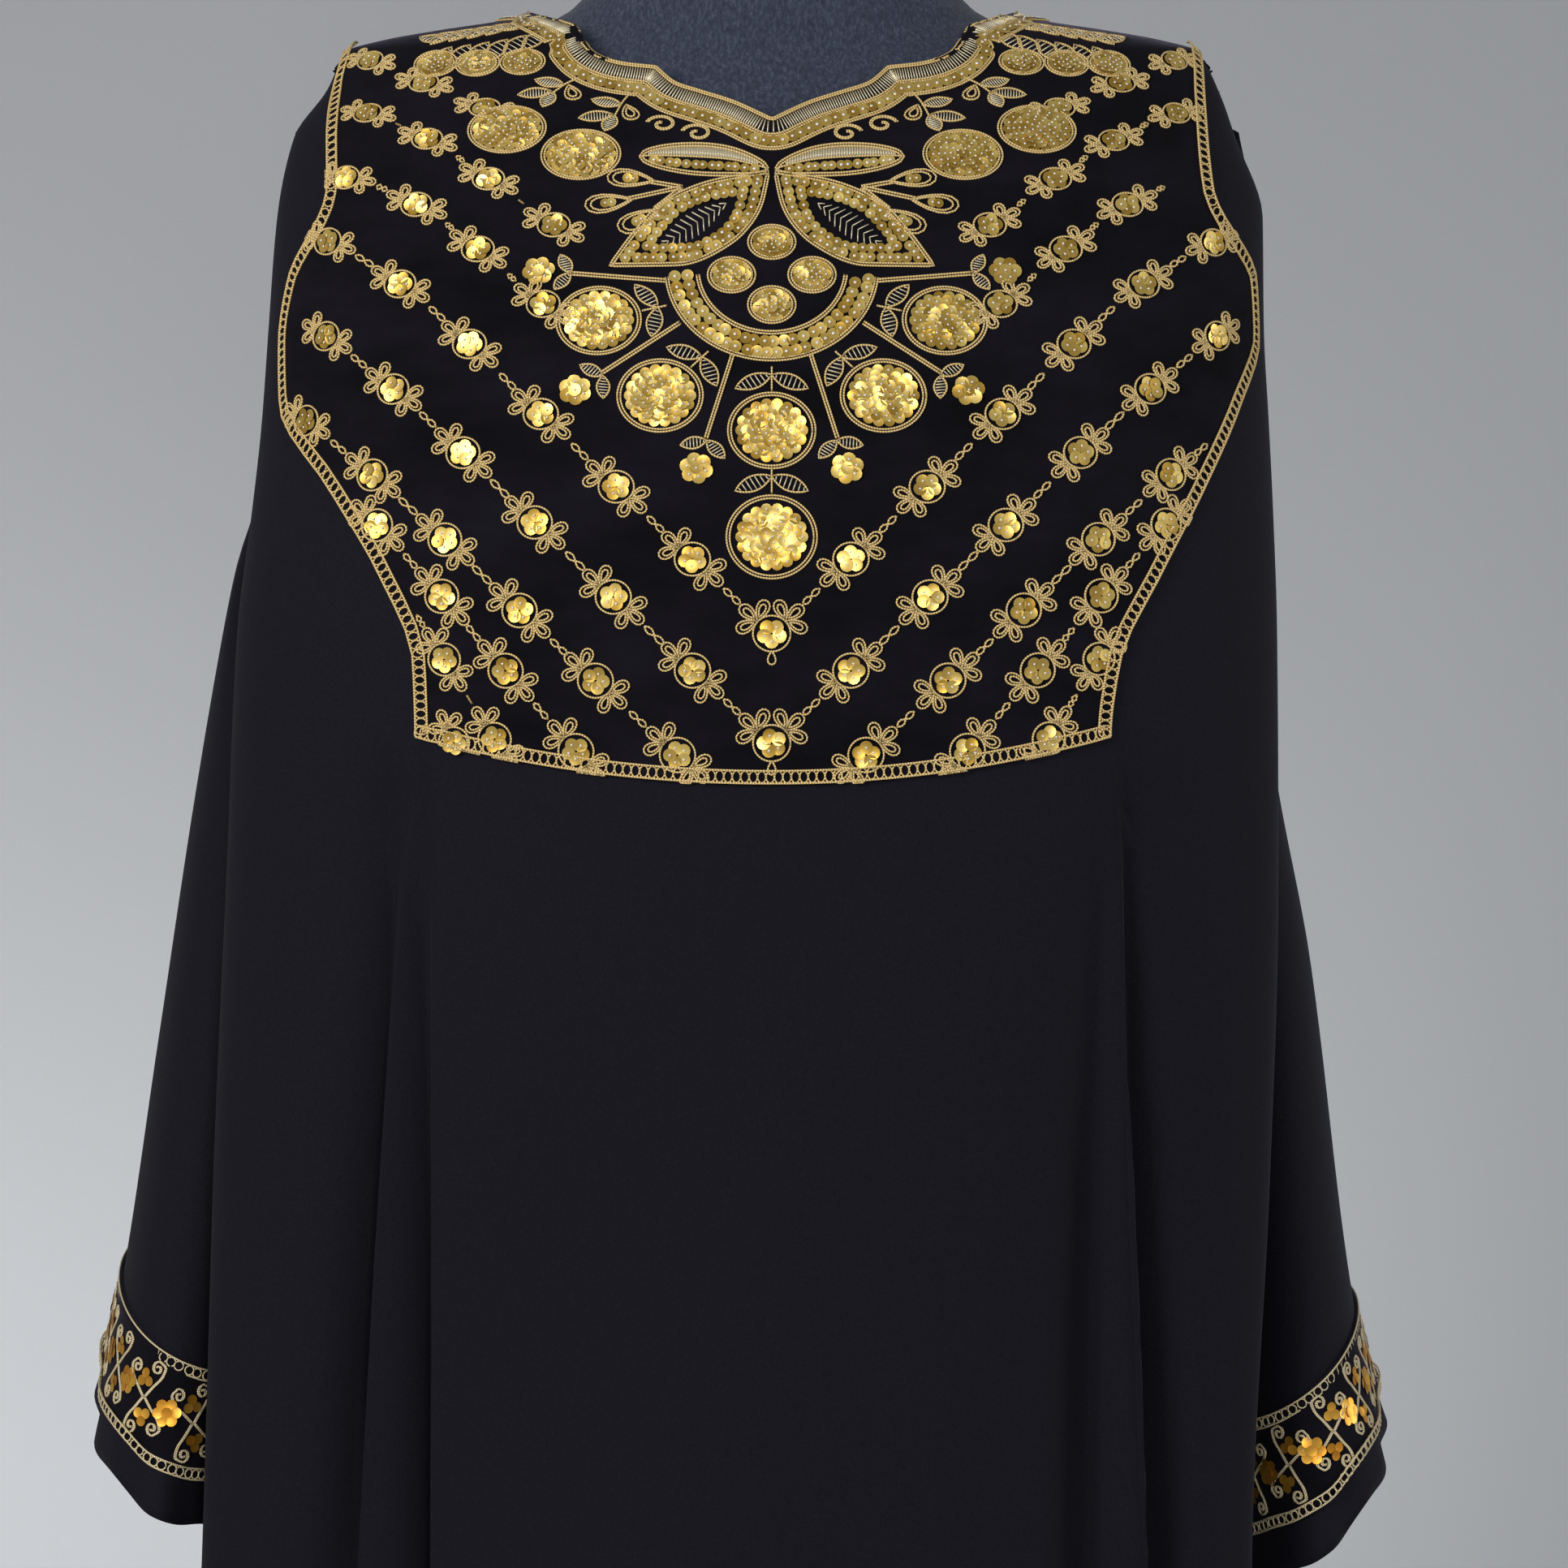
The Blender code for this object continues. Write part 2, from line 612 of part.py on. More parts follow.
def sleeve_key(key):
    """The apex is one point, and the two edges are one line below the underarm."""
    i, k = key
    if i == ARMHOLE_TOP or (i >= ARMHOLE_FOOT and k == SLEEVE_AROUND):
        return (i, 0)
    return key


def form_rings():
    rings = []
    for z, wide, ahead, behind, square in FORM:
        ring = []
        for k in range(FORM_AROUND):
            turn = 2 * math.pi * k / FORM_AROUND
            c, s = math.cos(turn), math.sin(turn)
            x = wide * math.copysign(abs(c) ** (2 / square), c)
            y = (behind if s > 0 else ahead) * math.copysign(abs(s) ** (2 / square), s)
            ring.append((x, y, z))
        rings.append(ring)
    return rings


def centre_footprint():
    """Put the origin under the middle of the whole outline; the left sleeve reaches further out."""
    points = [v.co for made in bpy.data.objects for v in made.data.vertices]
    shift_x = (min(p.x for p in points) + max(p.x for p in points)) / 2
    shift_y = (min(p.y for p in points) + max(p.y for p in points)) / 2
    for made in bpy.data.objects:
        for v in made.data.vertices:
            v.co.x -= shift_x
            v.co.y -= shift_y


def main():
    for old in list(bpy.data.objects):
        bpy.data.objects.remove(old)

    crepe = material("black_crepe", (0.012, 0.012, 0.017), 0.72, sheen=0.2)
    velvet = material("black_velvet", (0.008, 0.006, 0.010), 0.9, sheen=0.5)
    gold = material("gold_cord", (0.55, 0.36, 0.12), 0.38, metallic=0.7)
    pale_gold = material("pale_gold_thread", (0.62, 0.47, 0.22), 0.45, metallic=0.5)
    jersey = material("blue_grey_jersey", (0.035, 0.045, 0.075), 0.9)
    steel = material("stand_steel", (0.03, 0.03, 0.032), 0.4, metallic=0.6)
    wood = material("neck_cap_wood", (0.16, 0.09, 0.05), 0.5)

    front, back, half, wide, rows = body_grids()
    across, behind = 2 * half, 2 * wide
    front_cells = all_cells(rows, across)
    front_out = normals(front, front_cells, across)
    flatten(front_out, [k for k in front if seam_key(k, front, across)])
    wall("front", front, front_out, front_cells, across, -CREPE, 0.0, crepe)
    back_cells = all_cells(rows, behind)
    back_out = normals(back, back_cells, behind)
    flatten(back_out, [k for k in back if seam_key(k, back, behind)])
    wall("back", back, back_out, back_cells, behind, -CREPE, 0.0, crepe)

    # The chest panel lies on the front, its braid and the neck trim lie on the panel
    last = len(YOKE_ROWS) - 1
    inner = len(COLUMNS) - 1
    left, right = half - inner, half + inner
    panel_cells = [(i, j) for i in range(last) for j in range(left, right)]
    low = GAP + 0.0001
    wall("chest_panel", front, front_out, panel_cells, across, low, low + VELVET, velvet)
    over = low + VELVET + low
    braid_cells = [(i, j) for i, j in panel_cells if i == last - 1 or j in (left, right - 1)]
    wall("panel_braid", front, front_out, braid_cells, across, over, over + BRAID, gold)
    trim_cells = [(0, j) for j in range(half - 8, half + 8)]
    wall("neck_trim", front, front_out, trim_cells, across, over, over + TRIM, gold)

    for side, word in ((-1, "left"), (1, "right")):
        grid, cells, foot = sleeve_grid(side, front, back, half, wide)
        facing = normals(grid, cells, SLEEVE_AROUND, sleeve_key)
        wall("sleeve_" + word, grid, facing, cells, SLEEVE_AROUND, -CREPE, 0.0, crepe, sleeve_key)
        band = [(i, k) for i in (foot - 3, foot - 2) for k in range(SLEEVE_AROUND)]
        wall("cuff_band_" + word, grid, facing, band, SLEEVE_AROUND, low, low + BAND, pale_gold, sleeve_key)

    stack("form_torso", form_rings(), jersey)
    cap = [(0.058, NECK_TOP + GAP), (0.060, NECK_TOP + 0.004), (0.058, NECK_TOP + 0.009)]
    cap.append((0.048, NECK_TOP + CAP_HEIGHT))
    lathe("neck_cap", [(0.82 * r, z) for r, z in cap], 24, wood)
    pole = [(POLE_RADIUS, BASE_HEIGHT + GAP), (POLE_RADIUS, FORM_BOTTOM - GAP)]
    lathe("stand_pole", pole, 16, steel)
    base = [(BASE_RADIUS - 0.003, 0.0), (BASE_RADIUS, 0.003), (BASE_RADIUS, 0.008)]
    base += [(BASE_RADIUS - 0.006, 0.0115), (0.050, 0.0165), (0.030, BASE_HEIGHT)]
    lathe("stand_base", base, 40, steel)
    centre_footprint()


main()
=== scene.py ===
"""Scene of the black abaya on its dress form, seen from the front and a little above."""
import functools
import math
import random

import bpy
import numpy as np
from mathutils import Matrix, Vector
from mathutils.bvhtree import BVHTree


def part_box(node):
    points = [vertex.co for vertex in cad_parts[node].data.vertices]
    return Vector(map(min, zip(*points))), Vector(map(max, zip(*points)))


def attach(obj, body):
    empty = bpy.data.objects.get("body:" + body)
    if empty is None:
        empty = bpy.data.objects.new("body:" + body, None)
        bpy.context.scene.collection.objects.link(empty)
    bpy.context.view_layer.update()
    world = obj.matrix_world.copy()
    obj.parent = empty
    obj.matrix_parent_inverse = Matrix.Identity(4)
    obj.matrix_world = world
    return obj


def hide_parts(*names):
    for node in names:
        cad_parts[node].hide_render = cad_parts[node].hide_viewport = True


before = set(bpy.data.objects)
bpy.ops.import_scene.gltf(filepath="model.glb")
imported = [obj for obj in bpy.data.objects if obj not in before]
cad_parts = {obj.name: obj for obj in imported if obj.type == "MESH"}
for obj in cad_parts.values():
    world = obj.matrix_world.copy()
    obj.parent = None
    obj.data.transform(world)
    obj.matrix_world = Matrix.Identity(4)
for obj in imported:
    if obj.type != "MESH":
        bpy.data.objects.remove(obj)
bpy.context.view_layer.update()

POLE_LOW, POLE_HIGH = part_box("stand_pole")
SHIFT = np.array([(POLE_LOW[0] + POLE_HIGH[0]) / 2, (POLE_LOW[1] + POLE_HIGH[1]) / 2, 0.0])

# Cut of the garment
HEM_Z = 0.060
PANEL_CORNER_Z = 1.152
PANEL_DIP = 0.018
SHOULDER_END_Z = 1.4275
SHOULDER_END_X = 0.2005
NECK_SIDE_X = 0.108
BACK_NECK_DEPTH = 0.064
BACK_NECK_Z = 1.4560
CUFF_STRIP = 0.020
CUFF_BAND = 0.050

# Cloth thickness and spacing
GAP = 0.0003
CREPE = 0.0014

# Plan section of the body: height, half width left and right, depth of front, depth of the side fold
SECTIONS = (
    (0.0600, 0.3000, 0.2850, 0.178, 0.090),
    (0.4200, 0.2800, 0.2500, 0.161, 0.088),
    (0.7700, 0.2570, 0.2160, 0.151, 0.085),
    (0.9450, 0.2500, 0.2235, 0.149, 0.073),
    (1.0600, 0.2450, 0.2265, 0.150, 0.063),
    (1.1900, 0.2390, 0.2255, 0.148, 0.048),
    (1.2420, 0.2330, 0.2242, 0.142, 0.036),
    (1.2800, 0.2290, 0.2226, 0.134, 0.028),
    (1.3240, 0.2260, 0.2205, 0.121, 0.020),
    (1.3720, 0.2222, 0.2200, 0.101, 0.014),
    (1.4080, 0.2144, 0.2075, 0.084, 0.010),
    (1.4275, 0.2005, 0.2005, 0.071, 0.007),
    (1.4445, 0.1905, 0.1905, 0.059, 0.005),
    (1.4493, 0.1740, 0.1740, 0.055, 0.004),
    (1.4537, 0.1490, 0.1490, 0.052, 0.003),
    (1.4585, 0.1180, 0.1180, 0.048, 0.002),
    (1.4615, 0.1080, 0.1080, 0.046, 0.001),
)

# Side edge: height, inset from the outline, set back, inset of the back's outline, its depth and side depth
SIDES = (
    (0.0600, 0.030, 0.000, 0.010, 0.178, 0.090),
    (0.7700, 0.045, 0.002, 0.040, 0.140, 0.070),
    (1.1400, 0.038, 0.012, 0.036, 0.122, 0.054),
    (1.2140, 0.030, 0.012, 0.032, 0.118, 0.048),
    (1.2600, 0.018, 0.011, 0.026, 0.115, 0.045),
    (1.3100, 0.007, 0.009, 0.018, 0.112, 0.042),
    (1.3600, 0.004, 0.006, 0.012, 0.105, 0.034),
    (1.4000, 0.002, 0.003, 0.006, 0.092, 0.020),
    (1.4275, 0.000, 0.000, 0.000, 0.074, 0.008),
    (1.4445, 0.000, 0.000, 0.000, 0.062, 0.005),
    (1.4615, 0.000, 0.000, 0.000, 0.050, 0.002),
)

# Edge of the chest panel, carried on below it as the deep side crease: height, left, right
PANEL_EDGE = (
    (0.0600, 0.2250, 0.2050),
    (0.4000, 0.2020, 0.1820),
    (0.7850, 0.1856, 0.1680),
    (0.9100, 0.1816, 0.1652),
    (0.9900, 0.1777, 0.1630),
    (1.0800, 0.1700, 0.1580),
    (1.1520, 0.1532, 0.1455),
    (1.1850, 0.1540, 0.1495),
    (1.2200, 0.1685, 0.1670),
    (1.2550, 0.1910, 0.1865),
    (1.2900, 0.2155, 0.2040),
    (1.3180, 0.2165, 0.2140),
    (1.3450, 0.2125, 0.2130),
    (1.3850, 0.1950, 0.1930),
    (1.4155, 0.1960, 0.1910),
    (1.4445, 0.1905, 0.1905),
)

# Column lines from the centre to the panel edge: place on the top edge, share of the width below, top height
COLUMNS = (
    (0.0000, 0.000, 1.4148),
    (0.0165, 0.110, 1.4222),
    (0.0310, 0.220, 1.4268),
    (0.0415, 0.320, 1.4303),
    (0.0500, 0.420, 1.4372),
    (0.0655, 0.510, 1.4390),
    (0.0785, 0.600, 1.4440),
    (0.0865, 0.680, 1.4552),
    (0.1080, 0.755, 1.4615),
    (0.1310, 0.823, 1.4568),
    (0.1520, 0.875, 1.4532),
    (0.1700, 0.920, 1.4501),
    (0.1831, 0.960, 1.4475),
    (0.1905, 1.000, 1.4445),
)

# Hanging creases: side, valley at three levels, steep inner width, slack outer width, three depths
CREASES = (
    (-1, 0.1620, 0.1870, 0.2260, 0.0090, 0.015, 0.006, 0.022, 0.028),
    (-1, 0.1495, 0.1535, 0.1810, 0.0080, 0.011, 0.004, 0.018, 0.024),
    (1, 0.1430, 0.1395, 0.1480, 0.0210, 0.014, 0.003, 0.018, 0.022),
    (1, 0.1530, 0.1688, 0.2060, 0.0075, 0.022, 0.005, 0.021, 0.028),
)

# Rows of the yoke, from the top edge to the lower edge of the chest panel
YOKE_ROWS = (0.0, 0.05, 0.11, 0.18, 0.27, 0.36, 0.46, 0.56, 0.66, 0.76, 0.86, 0.972, 1.0)
ARMHOLE_TOP = 3
ARMHOLE_FOOT = 10
SKIRT_ROWS = 11
FOLD_COLUMNS = 3
RETURN_COLUMNS = 3
BACK_COLUMNS = 6

# Sleeve section: side, height, outer and inner place, front and back reach
SLEEVES = (
    (-1, 1.4126, 0.2150, 0.2100, 0.004, 0.000),
    (-1, 1.3600, 0.2230, 0.2150, 0.008, 0.020),
    (-1, 1.3100, 0.2262, 0.2120, 0.008, 0.044),
    (-1, 1.2500, 0.2345, 0.2100, -0.008, 0.054),
    (-1, 1.2140, 0.2455, 0.2080, -0.018, 0.062),
    (-1, 1.1300, 0.2640, 0.2130, -0.022, 0.074),
    (-1, 0.9800, 0.2880, 0.2240, -0.042, 0.094),
    (-1, 0.8600, 0.3060, 0.2370, -0.063, 0.108),
    (-1, 0.7900, 0.3205, 0.2430, -0.076, 0.114),
    (1, 1.4126, 0.2100, 0.2000, 0.004, 0.000),
    (1, 1.3600, 0.2210, 0.2100, 0.008, 0.020),
    (1, 1.3100, 0.2215, 0.2100, 0.008, 0.044),
    (1, 1.2500, 0.2235, 0.2050, -0.006, 0.054),
    (1, 1.2140, 0.2245, 0.1950, -0.014, 0.060),
    (1, 1.1300, 0.2315, 0.1990, -0.020, 0.074),
    (1, 1.0200, 0.2510, 0.2040, -0.036, 0.090),
    (1, 0.8380, 0.2740, 0.2110, -0.062, 0.106),
    (1, 0.7640, 0.2910, 0.2180, -0.074, 0.112),
)
CUFF_HEMS = ((-1, 0.7945), (1, 0.771))

# Hang of the cuffs: side, rise of the outer edge at the band's top and at the hem, drop of the front
CUFF_HANG = ((-1, 0.020, 0.023, 0.006), (1, 0.026, 0.032, 0.000))
UNDERARM_BLEND = 0.10

# Dress form section: height, half width, front depth, back depth, squareness
FORM = (
    (0.8000, 0.1420, 0.088, 0.094, 2.2),
    (0.8030, 0.1460, 0.092, 0.098, 2.2),
    (0.8600, 0.1600, 0.098, 0.106, 2.2),
    (0.9200, 0.1600, 0.100, 0.104, 2.2),
    (1.0100, 0.1380, 0.094, 0.086, 2.2),
    (1.0800, 0.1240, 0.092, 0.076, 2.2),
    (1.1500, 0.1340, 0.104, 0.078, 2.2),
    (1.2200, 0.1500, 0.124, 0.084, 2.2),
    (1.2900, 0.1640, 0.112, 0.088, 2.2),
    (1.3400, 0.1780, 0.096, 0.088, 2.2),
    (1.3860, 0.1870, 0.083, 0.080, 2.1),
    (1.4110, 0.1885, 0.073, 0.070, 2.0),
    (1.4260, 0.1840, 0.064, 0.060, 1.9),
    (1.4380, 0.1720, 0.058, 0.055, 1.8),
    (1.4465, 0.1500, 0.054, 0.051, 1.7),
    (1.4525, 0.1240, 0.053, 0.050, 1.7),
    (1.4580, 0.1020, 0.053, 0.050, 1.8),
    (1.4650, 0.0900, 0.052, 0.050, 2.0),
    (1.4740, 0.0820, 0.051, 0.050, 2.0),
    (1.4860, 0.0750, 0.051, 0.050, 2.0),
    (1.5060, 0.0660, 0.050, 0.049, 2.0),
    (1.5310, 0.0610, 0.049, 0.048, 2.0),
    (1.5540, 0.0600, 0.049, 0.048, 2.0),
)

# Fine steps of the visible cloth
STEPS_U = 5
FINE_STEPS_U = 9
STEPS_V = 5
TOP_STEPS = 7
SKIRT_STEPS = 6
SHARP_CREASE = 0.012
LEAN_REACH = 0.010
FULL_CREASE = 0.018
CREASE_START = 0.03
LIP_SHARE = 0.62
UNDER_SHARE = 0.56
PLAN_POWER = 2.4
NECK_SOFT = 0.004
VELVET_LIFT = 0.0004
VELVET_OUT = 0.0017
PANEL_TOP_X = 0.1905
RIDGE_TOP = 1.4615
CUFF_LEVEL = 0.785
NECK_COLUMN = 8
BACK_NECK_COLUMN = 3
BACK_NECK_RISE = 0.0055
BACK_LINE_X = 0.127
BACK_SHARE = 0.86
SLEEVE_AROUND = 120
SLEEVE_ROWS = 60
CUFF_ROWS = 12
HEM_ROWS = 4


def ease(t):
    """Soft step from 0 to 1."""
    return t * t * (3 - 2 * t)


def curve(rows, column, at):
    """Smooth reading of one column of a table whose first column rises."""
    if at <= rows[0][0]:
        return rows[0][column]
    if at >= rows[-1][0]:
        return rows[-1][column]
    i = 0
    while at > rows[i + 1][0]:
        i += 1
    x0, x1 = rows[i][0], rows[i + 1][0]
    y0, y1 = rows[i][column], rows[i + 1][column]
    middle = (y1 - y0) / (x1 - x0)
    before = middle
    after = middle
    if i > 0:
        before = (y0 - rows[i - 1][column]) / (x0 - rows[i - 1][0])
    if i + 2 < len(rows):
        after = (rows[i + 2][column] - y1) / (rows[i + 2][0] - x1)
    m0 = 0.0 if before * middle <= 0 else 2 * before * middle / (before + middle)
    m1 = 0.0 if after * middle <= 0 else 2 * after * middle / (after + middle)
    if i == 0:
        m0 = middle
    if i + 2 == len(rows):
        m1 = middle
    h = x1 - x0
    t = (at - x0) / h
    return (
        (1 + 2 * t) * (1 - t) ** 2 * y0
        + t * (1 - t) ** 2 * h * m0
        + t * t * (3 - 2 * t) * y1
        + t * t * (t - 1) * h * m1
    )


def outline(side, z):
    return curve(SECTIONS, 1 if side < 0 else 2, z)


def panel_edge(side, z):
    return min(curve(PANEL_EDGE, 1 if side < 0 else 2, z), 0.9995 * outline(side, z))


@functools.lru_cache(maxsize=4096)
def ridge(x):
    """Height of the shoulder line at a place across it."""
    low, high = 1.40, RIDGE_TOP
    for k in range(40):
        middle = (low + high) / 2
        if outline(-1, middle) > x:
            low = middle
        else:
            high = middle
    return (low + high) / 2


def hanging(side, z):
    """Hanging creases of one side at a height: valley, steep inner width, slack outer width, depth."""
    if z > PANEL_CORNER_Z:
        return
    rise = min(1.0, (PANEL_CORNER_Z - z) / CREASE_START)
    for which, top, cuff, hem, steep, slack, d_top, d_cuff, d_hem in CREASES:
        if which == side:
            at = curve(((HEM_Z, hem), (CUFF_LEVEL, cuff), (PANEL_CORNER_Z, top)), 1, z)
            deep = curve(((HEM_Z, d_hem), (CUFF_LEVEL, d_cuff), (PANEL_CORNER_Z, d_top)), 1, z)
            yield at, steep, slack, deep * rise


def creases(side, x, z):
    """How far the cloth stands back from its plain section."""
    total = 0.0
    for at, steep, slack, deep in hanging(side, z):
        if x > at:
            total += deep * math.exp(-(x - at) / slack)
        elif x > at - steep:
            total += deep * ease((x - at + steep) / steep)
    return total


def lean(side, x, z):
    """Sideways: the crest of a sharp crease leans out over its valley."""
    total = 0.0
    for at, steep, _, deep in hanging(side, z):
        if steep > SHARP_CREASE:
            continue
        full = steep * min(1.0, deep / FULL_CREASE)
        lip, under = LIP_SHARE * full, UNDER_SHARE * full
        if x > at:
            total -= under * math.exp(-(x - at) / LEAN_REACH)
        elif x > at - steep:
            total += lip - (lip + under) * ease((x - at + steep) / steep)
        else:
            total += lip * math.exp((x - at + steep) / LEAN_REACH)
    return total


def side_fade(share):
    """Creases die out towards the side fold."""
    return min(1.0, 6 * (1 - share))


def front_depth(side, x, z):
    """Place of the front along Y on its plain section, with the creases."""
    wide = outline(side, z)
    deep = curve(SECTIONS, 3, z)
    fold = curve(SECTIONS, 4, z)
    share = min(1.0, x / wide)
    plain = -(fold + (deep - fold) * math.sqrt(max(0.0, 1 - share**PLAN_POWER)))
    return plain + creases(side, x, z) * side_fade(share)


INNER = len(COLUMNS) - 1
FRONT_LAST = INNER + FOLD_COLUMNS + RETURN_COLUMNS
BACK_LAST = BACK_COLUMNS + FOLD_COLUMNS + RETURN_COLUMNS
YOKE_LAST = len(YOKE_ROWS) - 1
LINES = tuple((i, *line) for i, line in enumerate(COLUMNS))
CUSPS = (0, 4, 7, NECK_COLUMN, INNER)


def line_value(u, k):
    """A column line's value at a fractional column; the neckline's cusps stay sharp."""
    u = min(max(u, 0.0), INNER)
    for low, high in zip(CUSPS, CUSPS[1:]):
        if u <= high:
            return curve(LINES[low:high + 1], k, u)
    return LINES[-1][k]


def yoke_share(v):
    i = min(int(v), YOKE_LAST - 1)
    return YOKE_ROWS[i] + (YOKE_ROWS[i + 1] - YOKE_ROWS[i]) * (v - i)


def yoke_turn(v):
    """How far the cloth has turned from the shoulder's widths to those of the skirt."""
    return ease(yoke_share(v)) if v < YOKE_LAST else 1.0


def column_height(u, top, v):
    place = line_value(u, 2)
    foot = PANEL_CORNER_Z - PANEL_DIP * (1 - place**2)
    if v > YOKE_LAST:
        return foot + (HEM_Z - foot) * (v - YOKE_LAST) / SKIRT_ROWS
    bend = 1.0 + 0.7 * min(1.0, u / NECK_COLUMN)
    return top + (foot - top) * yoke_share(v) ** bend


def front_point(side, u, v):
    """A point of the front; u runs from the centre round the side fold to the seam, v down from the top."""
    if u <= INNER:
        x_top, share, top = (line_value(u, k) for k in (1, 2, 3))
    else:
        x_top = PANEL_TOP_X + (SHOULDER_END_X - PANEL_TOP_X) * (u - INNER) / (FRONT_LAST - INNER)
        share = 1.0
        top = ridge(x_top)
    if x_top >= NECK_SIDE_X - 1e-9:
        top = ridge(x_top)
    z = column_height(u, top, v)
    wide = outline(side, z)
    if v <= 0:
        y = front_depth(side, x_top, z) if x_top < NECK_SIDE_X - 1e-9 else 0.0
        return (side * x_top, y, z)
    soft = 0.0
    if x_top > NECK_SIDE_X - NECK_SOFT and v < 1 and u <= INNER + FOLD_COLUMNS:
        edge_y = curve(SECTIONS, 4, z) + 0.049 * (curve(SECTIONS, 3, z) - curve(SECTIONS, 4, z))
        soft = edge_y * (1 - v) ** 3 * min(1.0, (x_top - NECK_SIDE_X + NECK_SOFT) / NECK_SOFT)
    if u <= INNER:
        share_top = x_top / PANEL_TOP_X
        edge = panel_edge(side, column_height(INNER, ridge(PANEL_TOP_X), v))
        x = min(edge * (share_top + (share - share_top) * yoke_turn(v)), 0.999 * wide)
        return (side * (x + lean(side, x, z)), front_depth(side, x, z) + soft, z)
    if u <= INNER + FOLD_COLUMNS:
        start = math.asin(panel_edge(side, z) / wide)
        angle = start + (math.pi / 2 - start) * (u - INNER) / FOLD_COLUMNS
        x = wide * math.sin(angle)
        leaning = lean(side, x, z) * side_fade(x / wide)
        return (side * (x + leaning), front_depth(side, x, z) + soft, z)
    s = (u - INNER - FOLD_COLUMNS) / RETURN_COLUMNS
    x = wide - curve(SIDES, 1, z) * (1 - math.cos(math.pi * s)) / 2
    y0 = -curve(SECTIONS, 4, z)
    y = y0 + (curve(SIDES, 2, z) - y0) * s
    return (side * x, y, z)


def front_edge_height(v):
    return column_height(FRONT_LAST, SHOULDER_END_Z, v)


def armhole_share(v):
    """How near the back's edge is to the front's: 1 on a seam, less along the armhole."""
    if v <= ARMHOLE_TOP or v >= ARMHOLE_FOOT:
        return 1.0
    z_top = front_edge_height(ARMHOLE_TOP)
    t = (z_top - front_edge_height(v)) / (z_top - front_edge_height(ARMHOLE_FOOT))
    return 1.0 - 0.85 * math.sin(math.pi * t) ** 0.7


def back_point(side, u, v):
    """A point of the back; u runs from the centre out to the seam."""
    across = u / BACK_COLUMNS
    neck_turn = math.pi / 2 * u / BACK_NECK_COLUMN
    if u <= BACK_COLUMNS:
        x_top = PANEL_TOP_X * across
        if 2 < u < BACK_NECK_COLUMN:
            x_top = NECK_SIDE_X * math.sin(neck_turn)
        elif BACK_NECK_COLUMN <= u < 4:
            x_top = NECK_SIDE_X + (BACK_LINE_X - NECK_SIDE_X) * (u - BACK_NECK_COLUMN)
    else:
        x_top = PANEL_TOP_X + (SHOULDER_END_X - PANEL_TOP_X) * (u - BACK_COLUMNS) / (BACK_LAST - BACK_COLUMNS)
    if u < BACK_NECK_COLUMN:
        top = BACK_NECK_Z + BACK_NECK_RISE * math.sin(neck_turn) ** 4
    else:
        top = ridge(x_top)
    if v <= 0:
        if u < BACK_NECK_COLUMN:
            return (side * NECK_SIDE_X * math.sin(neck_turn), BACK_NECK_DEPTH * math.cos(neck_turn), top)
        return (side * x_top, 0.0, top)
    if v > YOKE_LAST:
        z = PANEL_CORNER_Z + (HEM_Z - PANEL_CORNER_Z) * (v - YOKE_LAST) / SKIRT_ROWS
    else:
        bend = 1.3 + 0.4 * min(1.0, u / BACK_NECK_COLUMN)
        z = top + (PANEL_CORNER_Z - top) * yoke_share(v) ** bend
    wide = outline(side, z) - curve(SIDES, 3, z)
    deep = curve(SIDES, 4, z)
    fold = curve(SIDES, 5, z)
    turn = yoke_turn(v)
    if u <= BACK_COLUMNS:
        start = NECK_SIDE_X * math.sin(neck_turn) if u <= BACK_NECK_COLUMN else x_top
        level = front_edge_height(v)
        reach = outline(side, level) - curve(SIDES, 3, level)
        high = start * min(1.0, reach / SHOULDER_END_X)
        x = min(high + (BACK_SHARE * across * reach - high) * turn, 0.995 * wide)
    elif u <= BACK_COLUMNS + FOLD_COLUMNS:
        high = min(0.99, PANEL_TOP_X / wide)
        begin = math.asin(high + (BACK_SHARE - high) * turn)
        x = wide * math.sin(begin + (math.pi / 2 - begin) * (u - BACK_COLUMNS) / FOLD_COLUMNS)
    else:
        s = (u - BACK_COLUMNS - FOLD_COLUMNS) / RETURN_COLUMNS * armhole_share(v)
        seam = outline(side, z) - curve(SIDES, 1, z)
        x = wide + (seam - wide) * (1 - math.cos(math.pi * s)) / 2
        y = fold + (curve(SIDES, 2, z) - fold) * s
        return (side * x, y, z)
    share = min(1.0, x / wide)
    y = fold + (deep - fold) * math.sqrt(max(0.0, 1 - share**PLAN_POWER))
    if v < 1:
        if u >= BACK_NECK_COLUMN:
            y -= (fold + 0.1 * (deep - fold)) * (1 - v) ** 3
        else:
            rim = BACK_NECK_DEPTH * math.cos(neck_turn)
            y += (rim - y) * (1 - v) ** 2 * 0.5
    return (side * x, y, z)


def sleeve_section(side, z):
    rows = tuple(row[1:] for row in reversed(SLEEVES) if row[0] == side)
    return tuple(curve(rows, k, z) for k in range(1, 5))


